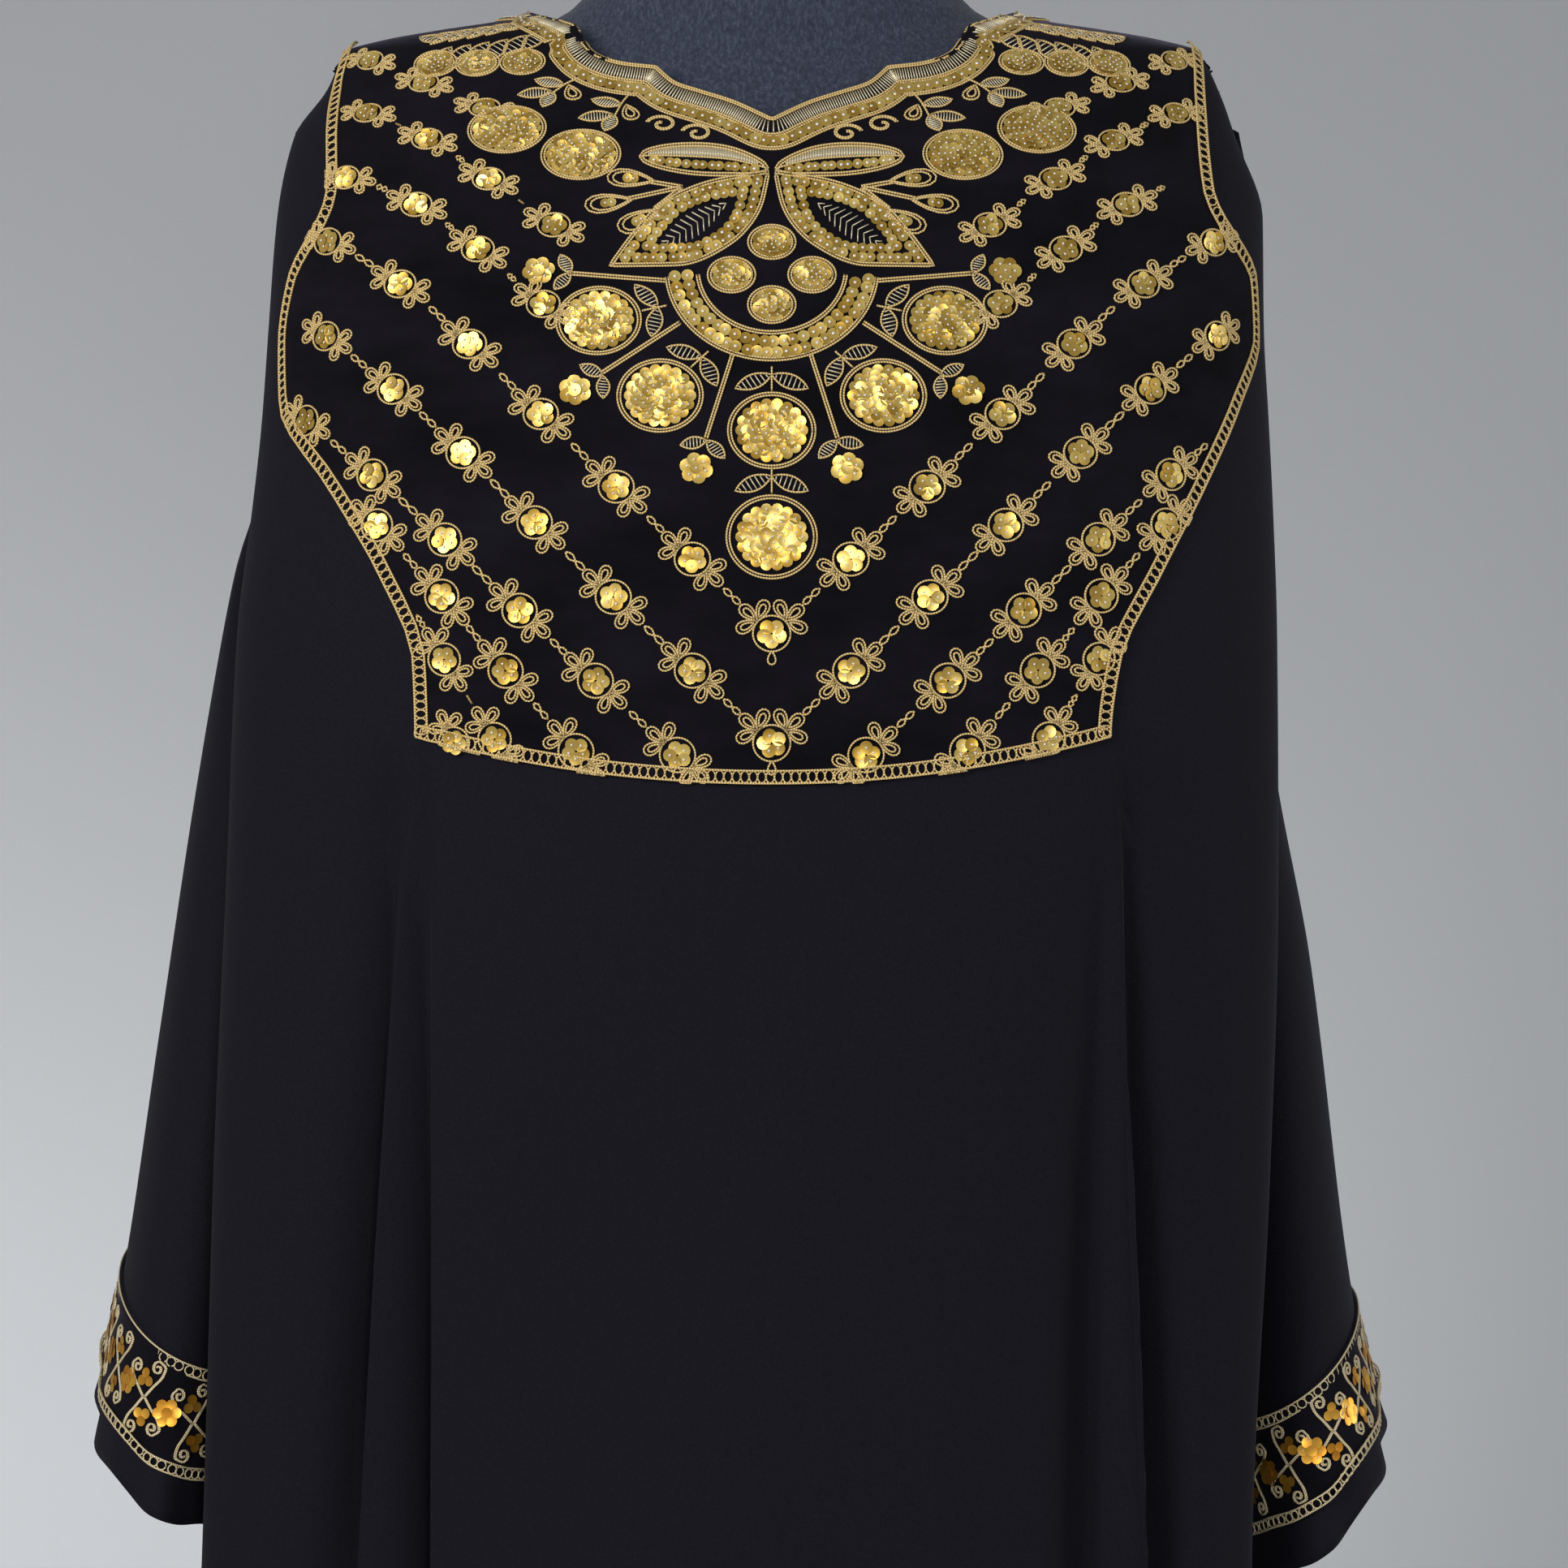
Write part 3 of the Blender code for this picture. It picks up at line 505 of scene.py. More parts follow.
def sleeve_point(side, s, z, front_edge, back_edge):
    """Sleeve at one height; s runs from -1 on the front's edge by the outer line to 1 on the back's."""
    outer, inner, ahead, behind = sleeve_section(side, z)
    reach = (behind - ahead) / 2
    middle = (behind + ahead) / 2
    round_x = (outer + inner) / 2 + (outer - inner) / 2 * math.cos(math.pi * s)
    round_y = middle + reach * math.sin(math.pi * s)
    edge = front_edge if s < 0 else back_edge
    share = abs(s)
    open_x = edge[0] + (outer - edge[0]) * (1 - share**2.5)
    over_front = max(0.0, front_edge[1] - ahead)
    over_back = max(0.0, behind - back_edge[1])
    open_middle = (front_edge[1] + back_edge[1] + over_back - over_front) / 2
    open_y = open_middle * (1 - share) + edge[1] * share
    open_y += math.copysign((over_front if s < 0 else over_back) * math.sin(math.pi * share**0.8), s)
    blend = ease(max(0.0, min(1.0, (edge[2] - z) / UNDERARM_BLEND)))
    return (side * (open_x + (round_x - open_x) * blend), open_y + (round_y - open_y) * blend, z)


def steps(last, count):
    return [k / count for k in range(last * count + 1)]


ROWS_DOWN = [(k / TOP_STEPS) ** 2 for k in range(TOP_STEPS)]
ROWS_DOWN += [1 + k / STEPS_V for k in range((YOKE_LAST - 1) * STEPS_V)]
ROWS_DOWN += [YOKE_LAST + k / SKIRT_STEPS for k in range(SKIRT_ROWS * SKIRT_STEPS + 1)]


def body_grid(point, half, last, neck_column, sign):
    """Points of the front (sign -1) or back (sign 1), top row first, with a gap at the seams."""
    across = [(sign, u) for u in reversed(half[1:])] + [(-sign, u) for u in half]
    points = np.array([[point(side, u, v) for side, u in across] for v in ROWS_DOWN])
    for j, (_, u) in enumerate(across):
        points[:, j, 1] += sign * GAP / 2 * max(0.0, u - last + 1)
        if u >= neck_column:
            points[0, j, 1] += sign * GAP / 2
    return points, across


def cuff_lift(side, s, z, start):
    """Height of the sleeve's cloth over its level: at the cuff the outer side rises and the front drops."""
    _, at_band, at_hem, drop = next(row for row in CUFF_HANG if row[0] == side)
    hem = dict(CUFF_HEMS)[side]
    band = hem + CUFF_STRIP + CUFF_BAND
    share = min(1.0, (start - z) / (start - band)) ** 1.5
    outer = at_band + (at_hem - at_band) * max(0.0, (band - z) / (band - hem))
    return share * (outer * math.cos(math.pi * s) + drop * math.sin(math.pi * s))


def hem_flutter(s, z, hem):
    """Small waves that grow from the cuff band to the free hem: outward and up."""
    grow = max(0.0, min(1.0, (hem + CUFF_STRIP + CUFF_BAND - z) / (CUFF_STRIP + CUFF_BAND))) ** 2
    out = 0.0020 * math.sin(math.pi * s * 7 + 0.8) + 0.0010 * math.sin(math.pi * s * 12 + 2.0)
    up = 0.0016 * math.sin(math.pi * s * 6 + 1.1) + 0.0009 * math.sin(math.pi * s * 11 + 0.3)
    return grow * out, grow * up


def sleeve_grid(side):
    """Rows of the sleeve head follow the armhole; below the underarm the sleeve is a tube."""
    rows = []
    around = [2 * k / SLEEVE_AROUND - 1 for k in range(SLEEVE_AROUND + 1)]
    for k in range((ARMHOLE_FOOT - ARMHOLE_TOP) * STEPS_V + 1):
        v = ARMHOLE_TOP + k / STEPS_V
        f = front_point(side, FRONT_LAST, v)
        b = back_point(side, BACK_LAST, v)
        f_y, b_y = f[1] - GAP / 2, b[1] + GAP / 2
        if v in (ARMHOLE_TOP, ARMHOLE_FOOT):
            f_y = b_y = (f_y + b_y) / 2
        ahead = (abs(f[0]) + 2 * GAP, f_y, f[2])
        behind = (abs(b[0]) + 2 * GAP, b_y, f[2])
        if v == ARMHOLE_TOP:
            apex = (side * (ahead[0] + CREPE), ahead[1], ahead[2] - 3 * GAP)
            rows.append([apex] * (SLEEVE_AROUND + 1))
            continue
        rows.append([sleeve_point(side, s, f[2], ahead, behind) for s in around])
        seam = ahead
    hem = dict(CUFF_HEMS)[side]
    top, low = seam[2], hem + CUFF_STRIP + CUFF_BAND
    levels = [top + (low - top) * (k / SLEEVE_ROWS) ** 1.1 for k in range(1, SLEEVE_ROWS + 1)]
    levels += [low - CUFF_BAND * k / CUFF_ROWS for k in range(1, CUFF_ROWS + 1)]
    levels += [low - CUFF_BAND - CUFF_STRIP * k / HEM_ROWS for k in range(1, HEM_ROWS + 1)]
    for z in levels:
        row = []
        for s in around:
            x, y, level = sleeve_point(side, s, z, seam, seam)
            out, up = hem_flutter(s, z, hem)
            x += side * out * math.cos(math.pi * s)
            y += out * math.sin(math.pi * s)
            row.append((x, y, level + cuff_lift(side, s, z, top) + up))
        rows.append(row)
    points = np.array(rows)
    if side < 0:
        points = points[:, ::-1]
    tube_from = (ARMHOLE_FOOT - ARMHOLE_TOP) * STEPS_V
    return points, tube_from


def grid_normals(points, tube_from=None):
    """Outward normals of a grid whose rows run down and whose columns run left to right."""
    du = np.gradient(points, axis=1)
    dv = np.gradient(points, axis=0)
    if tube_from is not None:
        wrap = points[tube_from:, 1] - points[tube_from:, -2]
        du[tube_from:, 0] = wrap
        du[tube_from:, -1] = wrap
    out = np.cross(dv, du)
    size = np.linalg.norm(out, axis=2, keepdims=True)
    bad = size[..., 0] < 1e-12
    out = out / np.maximum(size, 1e-12)
    for i, j in zip(*np.nonzero(bad)):
        out[i, j] = out[min(i + 1, len(out) - 1), j]
    return out


def new_object(name, points, faces, surface, smooth=True):
    mesh = bpy.data.meshes.new(name)
    mesh.from_pydata([tuple(map(float, p)) for p in points], [], faces)
    mesh.materials.append(surface)
    if smooth:
        mesh.polygons.foreach_set("use_smooth", [True] * len(mesh.polygons))
    made = bpy.data.objects.new(name, mesh)
    bpy.context.scene.collection.objects.link(made)
    return made


def grid_faces(rows, columns):
    corners = [i * columns + j for i in range(rows - 1) for j in range(columns - 1)]
    return [(a, a + columns, a + columns + 1, a + 1) for a in corners]


def shell(name, points, facing, low, high, surface):
    """Closed thin wall over a grid, between two distances from it."""
    rows, columns = points.shape[:2]
    outer = (points + facing * high).reshape(-1, 3) + SHIFT
    inner = (points + facing * low).reshape(-1, 3) + SHIFT
    count = rows * columns
    faces = []
    for a, b, c, d in grid_faces(rows, columns):
        faces.append((a, b, c, d))
        faces.append((a + count, d + count, c + count, b + count))
    rim = [i * columns for i in range(rows)]
    rim += [(rows - 1) * columns + j for j in range(1, columns)]
    rim += [i * columns + columns - 1 for i in range(rows - 2, -1, -1)]
    rim += list(range(columns - 2, 0, -1))
    for a, b in zip(rim, rim[1:] + rim[:1]):
        faces.append((b, a, a + count, b + count))
    return new_object(name, np.concatenate([outer, inner]), faces, surface)


def shader(name, colour, roughness, metallic=0.0, **inputs):
    made = bpy.data.materials.new(name)
    made.use_nodes = True
    node = made.node_tree.nodes["Principled BSDF"]
    node.inputs["Base Color"].default_value = (*colour, 1.0)
    node.inputs["Roughness"].default_value = roughness
    node.inputs["Metallic"].default_value = metallic
    for key, value in inputs.items():
        node.inputs[key.replace("_", " ")].default_value = value
    return made, made.node_tree, node


def noise(tree, scale, detail=2.0, roughness=0.5, stretch=(1.0, 1.0, 1.0)):
    place = tree.nodes.new("ShaderNodeTexCoord")
    mapping = tree.nodes.new("ShaderNodeMapping")
    mapping.inputs["Scale"].default_value = stretch
    tree.links.new(place.outputs["Object"], mapping.inputs["Vector"])
    texture = tree.nodes.new("ShaderNodeTexNoise")
    texture.inputs["Scale"].default_value = scale
    texture.inputs["Detail"].default_value = detail
    texture.inputs["Roughness"].default_value = roughness
    tree.links.new(mapping.outputs["Vector"], texture.inputs["Vector"])
    return texture


def ramp(tree, source, stops, node):
    """Base colour of a surface, read from a source between stops."""
    made = tree.nodes.new("ShaderNodeValToRGB")
    made.color_ramp.elements[0].position = stops[0][0]
    made.color_ramp.elements[0].color = (*stops[0][1], 1.0)
    made.color_ramp.elements[1].position = stops[-1][0]
    made.color_ramp.elements[1].color = (*stops[-1][1], 1.0)
    for place, colour in stops[1:-1]:
        extra = made.color_ramp.elements.new(place)
        extra.color = (*colour, 1.0)
    tree.links.new(source, made.inputs["Fac"])
    tree.links.new(made.outputs["Color"], node.inputs["Base Color"])


def bump(tree, node, source, strength, distance):
    made = tree.nodes.new("ShaderNodeBump")
    made.inputs["Strength"].default_value = strength
    made.inputs["Distance"].default_value = distance
    tree.links.new(source, made.inputs["Height"])
    tree.links.new(made.outputs["Normal"], node.inputs["Normal"])


def crepe_material():
    made, tree, node = shader("crepe", (0.009, 0.008, 0.015), 0.85, Sheen_Weight=0.036, Sheen_Roughness=0.40)
    node.inputs["Sheen Tint"].default_value = (0.75, 0.80, 1.0, 1.0)
    node.inputs["Specular IOR Level"].default_value = 0.17
    weave = noise(tree, 1500.0, 2.0, 0.6, (1.0, 1.0, 0.55))
    stops = ((0.30, (0.0046, 0.0042, 0.0084)), (0.72, (0.0092, 0.0084, 0.0148)))
    ramp(tree, weave.outputs["Fac"], stops, node)
    bump(tree, node, weave.outputs["Fac"], 0.35, 0.0004)
    return made


def velvet_material():
    made, tree, node = shader("velvet", (0.004, 0.003, 0.006), 0.95, Sheen_Weight=0.13, Sheen_Roughness=0.30)
    node.inputs["Sheen Tint"].default_value = (0.80, 0.72, 1.0, 1.0)
    node.inputs["Specular IOR Level"].default_value = 0.15
    nap = noise(tree, 14.0, 5.0, 0.62, (1.0, 1.0, 2.2))
    stops = ((0.35, (0.0020, 0.0015, 0.0032)), (0.70, (0.0080, 0.0068, 0.0122)))
    ramp(tree, nap.outputs["Fac"], stops, node)
    pile = noise(tree, 900.0, 2.0, 0.6)
    bump(tree, node, pile.outputs["Fac"], 0.5, 0.0005)
    return made


def jersey_material():
    made, tree, node = shader("jersey", (0.035, 0.045, 0.075), 0.92, Sheen_Weight=0.15)
    fleck = noise(tree, 650.0, 3.0, 0.7, (1.0, 1.0, 0.5))
    stops = ((0.30, (0.016, 0.021, 0.040)), (0.52, (0.035, 0.044, 0.077)), (0.75, (0.080, 0.094, 0.142)))
    ramp(tree, fleck.outputs["Fac"], stops, node)
    bump(tree, node, fleck.outputs["Fac"], 0.4, 0.0005)
    return made


def cord_material(name, groove_shade, light, roughness, metallic, turns):
    """Twisted cord: the strands run round it by the stored length and angle; its colour is painted shade in
    the grooves between the strands, rising to the gold of their crowns.
    """
    made, tree, node = shader(name, light, roughness, metallic)
    facts = tree.nodes.new("ShaderNodeAttribute")
    facts.attribute_name = "twist"
    parts = tree.nodes.new("ShaderNodeSeparateXYZ")
    tree.links.new(facts.outputs["Vector"], parts.inputs["Vector"])

    def do(kind, a, b):
        step = tree.nodes.new("ShaderNodeMath")
        step.operation = kind
        for k, value in enumerate((a, b)):
            if value is None:
                continue
            if isinstance(value, float):
                step.inputs[k].default_value = value
            else:
                tree.links.new(value, step.inputs[k])
        return step.outputs["Value"]

    phase = do("MULTIPLY", parts.outputs["X"], turns)
    strands = do("ADD", do("MULTIPLY", do("SINE", phase, None), parts.outputs["Y"]),
                 do("MULTIPLY", do("COSINE", phase, None), parts.outputs["Z"]))
    height = do("MULTIPLY_ADD", strands, 0.5)
    height.node.inputs[2].default_value = 0.5
    # Painted shade: where the strands run low, in the grooves between them, the colour falls to the dark end;
    # the crowns get the cord's gold
    ramp(tree, height, ((0.10, groove_shade), (0.75, light)), node)
    bump(tree, node, height, 0.6, 0.0004)
    return made


def sequin_material(name, low, high, roughness):
    made, tree, node = shader(name, high, roughness, 0.8)
    facts = tree.nodes.new("ShaderNodeAttribute")
    facts.attribute_name = "shade"
    ramp(tree, facts.outputs["Fac"], ((0.0, low), (1.0, high)), node)
    return made


def steel_material():
    made, tree, node = shader("stand_paint", (0.030, 0.030, 0.032), 0.42, 0.5)
    grain = noise(tree, 220.0, 2.0)
    bump(tree, node, grain.outputs["Fac"], 0.05, 0.0002)
    return made


def wood_material():
    made, tree, node = shader("cap_wood", (0.16, 0.09, 0.05), 0.45)
    grain = noise(tree, 60.0, 4.0, 0.6, (1.0, 9.0, 1.0))
    ramp(tree, grain.outputs["Fac"], ((0.3, (0.10, 0.052, 0.026)), (0.7, (0.22, 0.125, 0.070))), node)
    return made


CREPE_LOOK = crepe_material()
VELVET_LOOK = velvet_material()
JERSEY_LOOK = jersey_material()
# Cord colours: first the painted shade of the grooves between strands, then the gold of the strand crowns
GOLD_LOOK = cord_material("gold_cord_look", (0.520, 0.285, 0.070), (1.000, 0.790, 0.360), 0.32, 0.12, 5200.0)
pale_groove_shade, pale_crown = (0.560, 0.400, 0.180), (1.000, 0.880, 0.580)
PALE_LOOK = cord_material("pale_thread_look", pale_groove_shade, pale_crown, 0.32, 0.12, 6500.0)
SILVER_LOOK = shader("ladder_thread", (0.900, 0.800, 0.560), 0.36, 0.20)[0]
SEQUIN_LOOK = sequin_material("sequin_gold", (0.560, 0.330, 0.045), (0.980, 0.720, 0.210), 0.33)
CUFF_SEQUIN_LOOK = sequin_material("sequin_orange_gold", (0.680, 0.270, 0.020), (0.960, 0.540, 0.080), 0.36)
BEAD_LOOK = shader("glass_bead", (0.86, 0.84, 0.78), 0.18, 0.10)[0]


UNEVEN_BELOW = 1.10
UNEVEN_RAMP = 0.15


def unevenness(points, amount):
    """Small soft unevenness of hanging cloth: mostly upright troughs, none near the shoulders."""
    x, z = points[..., 0], points[..., 2]
    fade = np.clip((UNEVEN_BELOW - z) / UNEVEN_RAMP, 0.0, 1.0)
    wave = np.sin(23.0 * x + 1.7 * np.sin(3.1 * z) + 0.6)
    wave += 0.6 * np.sin(51.0 * x + 2.3 * np.sin(2.2 * z + 1.0) + 2.1)
    wave += 0.35 * np.sin(9.0 * z + 14.0 * x)
    return amount * fade * wave


def hung(points, across, last, neck_column, amount):
    """Cloth with its unevenness, and its normals, which lie square to the seams so that both stay apart."""
    points = points + grid_normals(points) * unevenness(points, amount)[..., None]
    facing = grid_normals(points)
    for j, (_, u) in enumerate(across):
        if u == last:
            facing[:, j, 1] = 0.0
        if u >= neck_column:
            facing[0, j, 1] = 0.0
    return points, facing / np.maximum(np.linalg.norm(facing, axis=2, keepdims=True), 1e-9)


fold_end = INNER + FOLD_COLUMNS
half_front = [u for u in steps(FRONT_LAST, STEPS_U) if not NECK_COLUMN < u < fold_end]
half_front += [NECK_COLUMN + k / FINE_STEPS_U for k in range(1, (fold_end - NECK_COLUMN) * FINE_STEPS_U)]
front_points, FRONT_ACROSS = body_grid(front_point, sorted(half_front), FRONT_LAST, NECK_COLUMN, -1)
FRONT, FRONT_OUT = hung(front_points, FRONT_ACROSS, FRONT_LAST, NECK_COLUMN, 0.0011)
back_points, back_across = body_grid(back_point, steps(BACK_LAST, STEPS_U), BACK_LAST, BACK_NECK_COLUMN, 1)
BACK, BACK_OUT = hung(back_points, back_across, BACK_LAST, BACK_NECK_COLUMN, 0.0016)

front = shell("abaya_front", FRONT, FRONT_OUT, -CREPE, 0.0, CREPE_LOOK)
back = shell("abaya_back", BACK, BACK_OUT, -CREPE, 0.0, CREPE_LOOK)
sleeves = {}
SLEEVE_GRIDS = {}
for side, word in ((-1, "left"), (1, "right")):
    points, tube_from = sleeve_grid(side)
    facing = grid_normals(points, tube_from)
    facing[0] = facing[1].mean(axis=0) / np.linalg.norm(facing[1].mean(axis=0))
    SLEEVE_GRIDS[side] = (points, facing)
    sleeves[side] = shell("abaya_sleeve_" + word, points, facing, -CREPE, 0.0, CREPE_LOOK)

panel_columns = [j for j, (_, u) in enumerate(FRONT_ACROSS) if u <= INNER]
panel_rows = [i for i, v in enumerate(ROWS_DOWN) if v <= YOKE_LAST]
PANEL = FRONT[np.ix_(panel_rows, panel_columns)]
PANEL_OUT = FRONT_OUT[np.ix_(panel_rows, panel_columns)]
velvet = shell("chest_velvet", PANEL, PANEL_OUT, VELVET_LIFT, VELVET_OUT, VELVET_LOOK)


def tree_of(points, facing, lift):
    """Search tree of a grid's outer face."""
    rows, columns = points.shape[:2]
    flat = (points + facing * lift).reshape(-1, 3)
    return BVHTree.FromPolygons([tuple(map(float, p)) for p in flat], grid_faces(rows, columns))


VELVET_TREE = tree_of(PANEL, PANEL_OUT, VELVET_OUT)


FORM_SLACK = 0.0006
FORM_AROUND = 96
FORM_ROWS = 150


def jersey_form():
    """The padded torso as one smooth closed surface."""
    around = FORM_AROUND
    low, high = FORM[0][0], FORM[-1][0]
    even = [low + (high - low) * k / FORM_ROWS for k in range(FORM_ROWS + 1)]
    heights = sorted(set(even + [row[0] for row in FORM]))
    points = []
    for z in heights:
        wide, ahead, behind, square = (curve(FORM, k, z) for k in range(1, 5))
        for k in range(around):
            turn = 2 * math.pi * k / around
            c, s = math.cos(turn), math.sin(turn)
            x = (wide - FORM_SLACK) * math.copysign(abs(c) ** (2 / square), c)
            y = ((behind if s > 0 else ahead) - FORM_SLACK) * math.copysign(abs(s) ** (2 / square), s)
            points.append((x + SHIFT[0], y + SHIFT[1], z))
    faces = []
    for i in range(len(heights) - 1):
        for j in range(around):
            a, b = i * around + j, i * around + (j + 1) % around
            faces.append((a, b, b + around, a + around))
    top = (len(heights) - 1) * around
    faces.append(tuple(reversed(range(around))))
    faces.append(tuple(top + j for j in range(around)))
    return new_object("form_jersey", points, faces, JERSEY_LOOK)


form = jersey_form()


# Embroidery sizes in metres
MM = 0.001
CORD = 0.52 * MM
CORD_SPACE = 0.58 * MM
CORD_STEP = 1.3 * MM
RUNG = 0.33 * MM
LINK_CORD = 0.42 * MM
SEQUIN_SIDES = 12
DRAW = random.Random(11)

# Motifs are drawn lower than wide towards the shoulders: height on the cloth, their height for a width of one
SQUAT = ((0.95, 1.0), (1.15, 0.98), (1.24, 0.92), (1.30, 0.86), (1.36, 0.78), (1.41, 0.67), (1.45, 0.66))


class Bundle:
    """Strands and discs gathered into one joined mesh."""

    def __init__(self):
        self.points = []
        self.faces = []
        self.facts = []

    def add(self, points, faces, facts):
        start = len(self.points)
        self.points += points
        self.facts += facts
        self.faces += [tuple(start + k for k in face) for face in faces]

    def build(self, name, surface, attribute):
        made = new_object(name, [np.array(p) + SHIFT for p in self.points], self.faces, surface)
        if attribute == "twist":
            layer = made.data.attributes.new(attribute, "FLOAT_VECTOR", "POINT")
            layer.data.foreach_set("vector", [float(v) for fact in self.facts for v in fact])
        elif attribute:
            layer = made.data.attributes.new(attribute, "FLOAT", "POINT")
            layer.data.foreach_set("value", [float(v) for v in self.facts])
        return made


def unit(vectors):
    return vectors / np.maximum(np.linalg.norm(vectors, axis=-1, keepdims=True), 1e-9)


def walked(path):
    """Distance gone at each point of a path."""
    return np.concatenate([[0.0], np.cumsum(np.linalg.norm(np.diff(path, axis=0), axis=1))])


def resampled(path, spacing, *others):
    """A path at even steps, with other facts of its points read at the same places."""
    gone = walked(path)
    even = np.linspace(0.0, gone[-1], int(gone[-1] / spacing))
    lines = (path, *others)
    return [np.stack([np.interp(even, gone, line[:, k]) for k in range(3)], axis=1) for line in lines]


def strand(bundle, path, facing, radius=CORD, sides=4, closed=False, lift=0.8):
    """A cord lying on the cloth along a path of surface points."""
    path = np.asarray(path)
    facing = np.asarray(facing)
    count = len(path)
    if count < 2:
        return
    around = np.roll(path, -1, axis=0) - np.roll(path, 1, axis=0)
    along = unit(around if closed else np.gradient(path, axis=0))
    across = unit(np.cross(along, facing))
    up = np.cross(across, along)
    gone = walked(path)
    points, facts, faces = [], [], []
    for i in range(count):
        for k in range(sides):
            turn = 2 * math.pi * (k + 0.5) / sides
            c, s = math.cos(turn), math.sin(turn)
            points.append(path[i] + facing[i] * radius * lift + radius * (c * across[i] + s * up[i]))
            facts.append((gone[i], c, s))
    for i in range(count if closed else count - 1):
        j = (i + 1) % count
        for k in range(sides):
            m = (k + 1) % sides
            faces.append((i * sides + k, i * sides + m, j * sides + m, j * sides + k))
    if not closed:
        faces.append(tuple(reversed(range(sides))))
        faces.append(tuple((count - 1) * sides + k for k in range(sides)))
    bundle.add(points, faces, facts)


def fan(top, centre, right, up, radius, sides):
    """Points and faces of a flat cone round its top."""
    points = [top]
    for k in range(sides):
        angle = 2 * math.pi * k / sides
        points.append(centre + radius * (math.cos(angle) * right + math.sin(angle) * up))
    return points, [(0, 1 + k, 1 + (k + 1) % sides) for k in range(sides)]


def disc(cloth, place, facing, radius, lift=0.7 * MM, tilt=0.14, bead=0.55 * MM):
    """A cupped sequin held by a bead at its centre."""
    facing = facing / np.linalg.norm(facing)
    help_axis = np.array((0.0, 0.0, 1.0)) if abs(facing[2]) < 0.8 else np.array((1.0, 0.0, 0.0))
    right = unit(np.cross(help_axis, facing))
    up = np.cross(facing, right)
    turn = DRAW.uniform(0, 2 * math.pi)
    lean_out = DRAW.uniform(0.2, 1.0) * tilt
    out = unit(facing + lean_out * (math.cos(turn) * right + math.sin(turn) * up))
    right = unit(np.cross(up, out))
    up = np.cross(out, right)
    centre = place + facing * (lift + radius * lean_out * 0.6)
    points, faces = fan(centre - out * 0.10 * radius, centre, right, up, radius, SEQUIN_SIDES)
    cloth.sequins.add(points, faces, [DRAW.random()] * len(points))
    if bead:
        centre = centre + out * bead * 0.55
        points, faces = fan(centre + out * bead, centre, right, up, bead, 6)
        cloth.beads.add(points, faces, [0.0] * len(points))


class Cloth:
    """An embroidered cloth face: its search tree and the threads laid on it."""

    def __init__(self, tree):
        self.tree = tree
        self.cords = Bundle()
        self.ladder = Bundle()
        self.sequins = Bundle()
        self.beads = Bundle()

    def nearest(self, place):
        spot, facing = self.tree.find_nearest(Vector(place))[:2]
        return np.array(spot), np.array(facing)

    def seen(self, x, z):
        """Point of the cloth at a place of the front view."""
        spot, facing = self.tree.ray_cast(Vector((x, -0.6, z)), Vector((0.0, 1.0, 0.0)))[:2]
        if spot is None:
            return self.nearest((x, -0.05, z))
        return np.array(spot), np.array(facing)


class Spot:
    """A flat drawing board laid against the cloth; what is drawn on it is pressed onto the cloth."""

    def __init__(self, cloth, place, facing, ahead=(0.0, 0.0, 1.0), mirror=1):
        self.cloth = cloth
        self.place = place
        self.facing = facing / np.linalg.norm(facing)
        ahead = np.asarray(ahead, dtype=float)
        self.up = ahead - self.facing * ahead.dot(self.facing)
        self.up /= np.linalg.norm(self.up)
        self.right = np.cross(self.up, self.facing) * mirror
        rise = np.array((0.0, 0.0, 1.0)) - self.facing * self.facing[2]
        self.rise = rise / np.linalg.norm(rise)
        self.flat = 1.0 - curve(SQUAT, 1, float(place[2]))

    def at(self, a, b):
        step = a * self.right + b * self.up
        step = step - self.flat * step.dot(self.rise) * self.rise
        return self.cloth.nearest(self.place + step)

    def path(self, points):
        pressed = [self.at(a, b) for a, b in points]
        return [p for p, n in pressed], [n for p, n in pressed]

    def draw(self, points, closed=True):
        """Lay a cord along a drawing."""
        path, facing = self.path(points)
        strand(self.cloth.cords, path, facing, closed=closed)

    def sequin(self, a, b, size, **how):
        disc(self.cloth, *self.at(a, b), size, **how)


def teardrop(length, width, count=14):
    """Closed loop with its root at the start, lying along +b."""
    turns = [2 * math.pi * k / count for k in range(count)]
    return [(0.62 * width * math.sin(t) * math.sin(t / 2), length * (1 - math.cos(t)) / 2) for t in turns]


def lens_half(width, s):
    return 0.5 * width * math.sin(math.pi * s) ** 0.85


def lens(length, width, count=9):
    """Leaf outline, pointed at both ends, lying along +b."""
    side = [(lens_half(width, k / count), k / count * length) for k in range(count + 1)]
    return side + [(-a, b) for a, b in reversed(side[1:-1])]


def ring(radius, count=None):
    count = count or max(14, int(2 * math.pi * radius / CORD_STEP))
    turns = [2 * math.pi * k / count for k in range(count)]
    return [(radius * math.cos(t), radius * math.sin(t)) for t in turns]


def turned(points, angle, centre=(0.0, 0.0)):
    """Turn a drawing clockwise from +b and move it."""
    c, s = math.cos(angle), math.sin(angle)
    return [(centre[0] + a * c + b * s, centre[1] - a * s + b * c) for a, b in points]


def petals(spot, centre, heading, angles, length, width):
    """Corded loops round one root, each doubled inside."""
    outer = teardrop(length, width)
    inner = [(a * 0.5, 0.18 * length + b * 0.62) for a, b in outer]
    for angle in angles:
        spot.draw(turned(outer, heading + angle, centre))
        spot.draw(turned(inner, heading + angle, centre))


def flower(spot, count, radius, size, middle=True):
    """Sequins round a middle one."""
    start = DRAW.uniform(0, 6.28)
    for k in range(count):
        turn = start + 2 * math.pi * k / count
        spot.sequin(radius * math.cos(turn), radius * math.sin(turn), size)
    if middle:
        spot.sequin(0.0, 0.0, size * 0.9, lift=1.1 * MM)


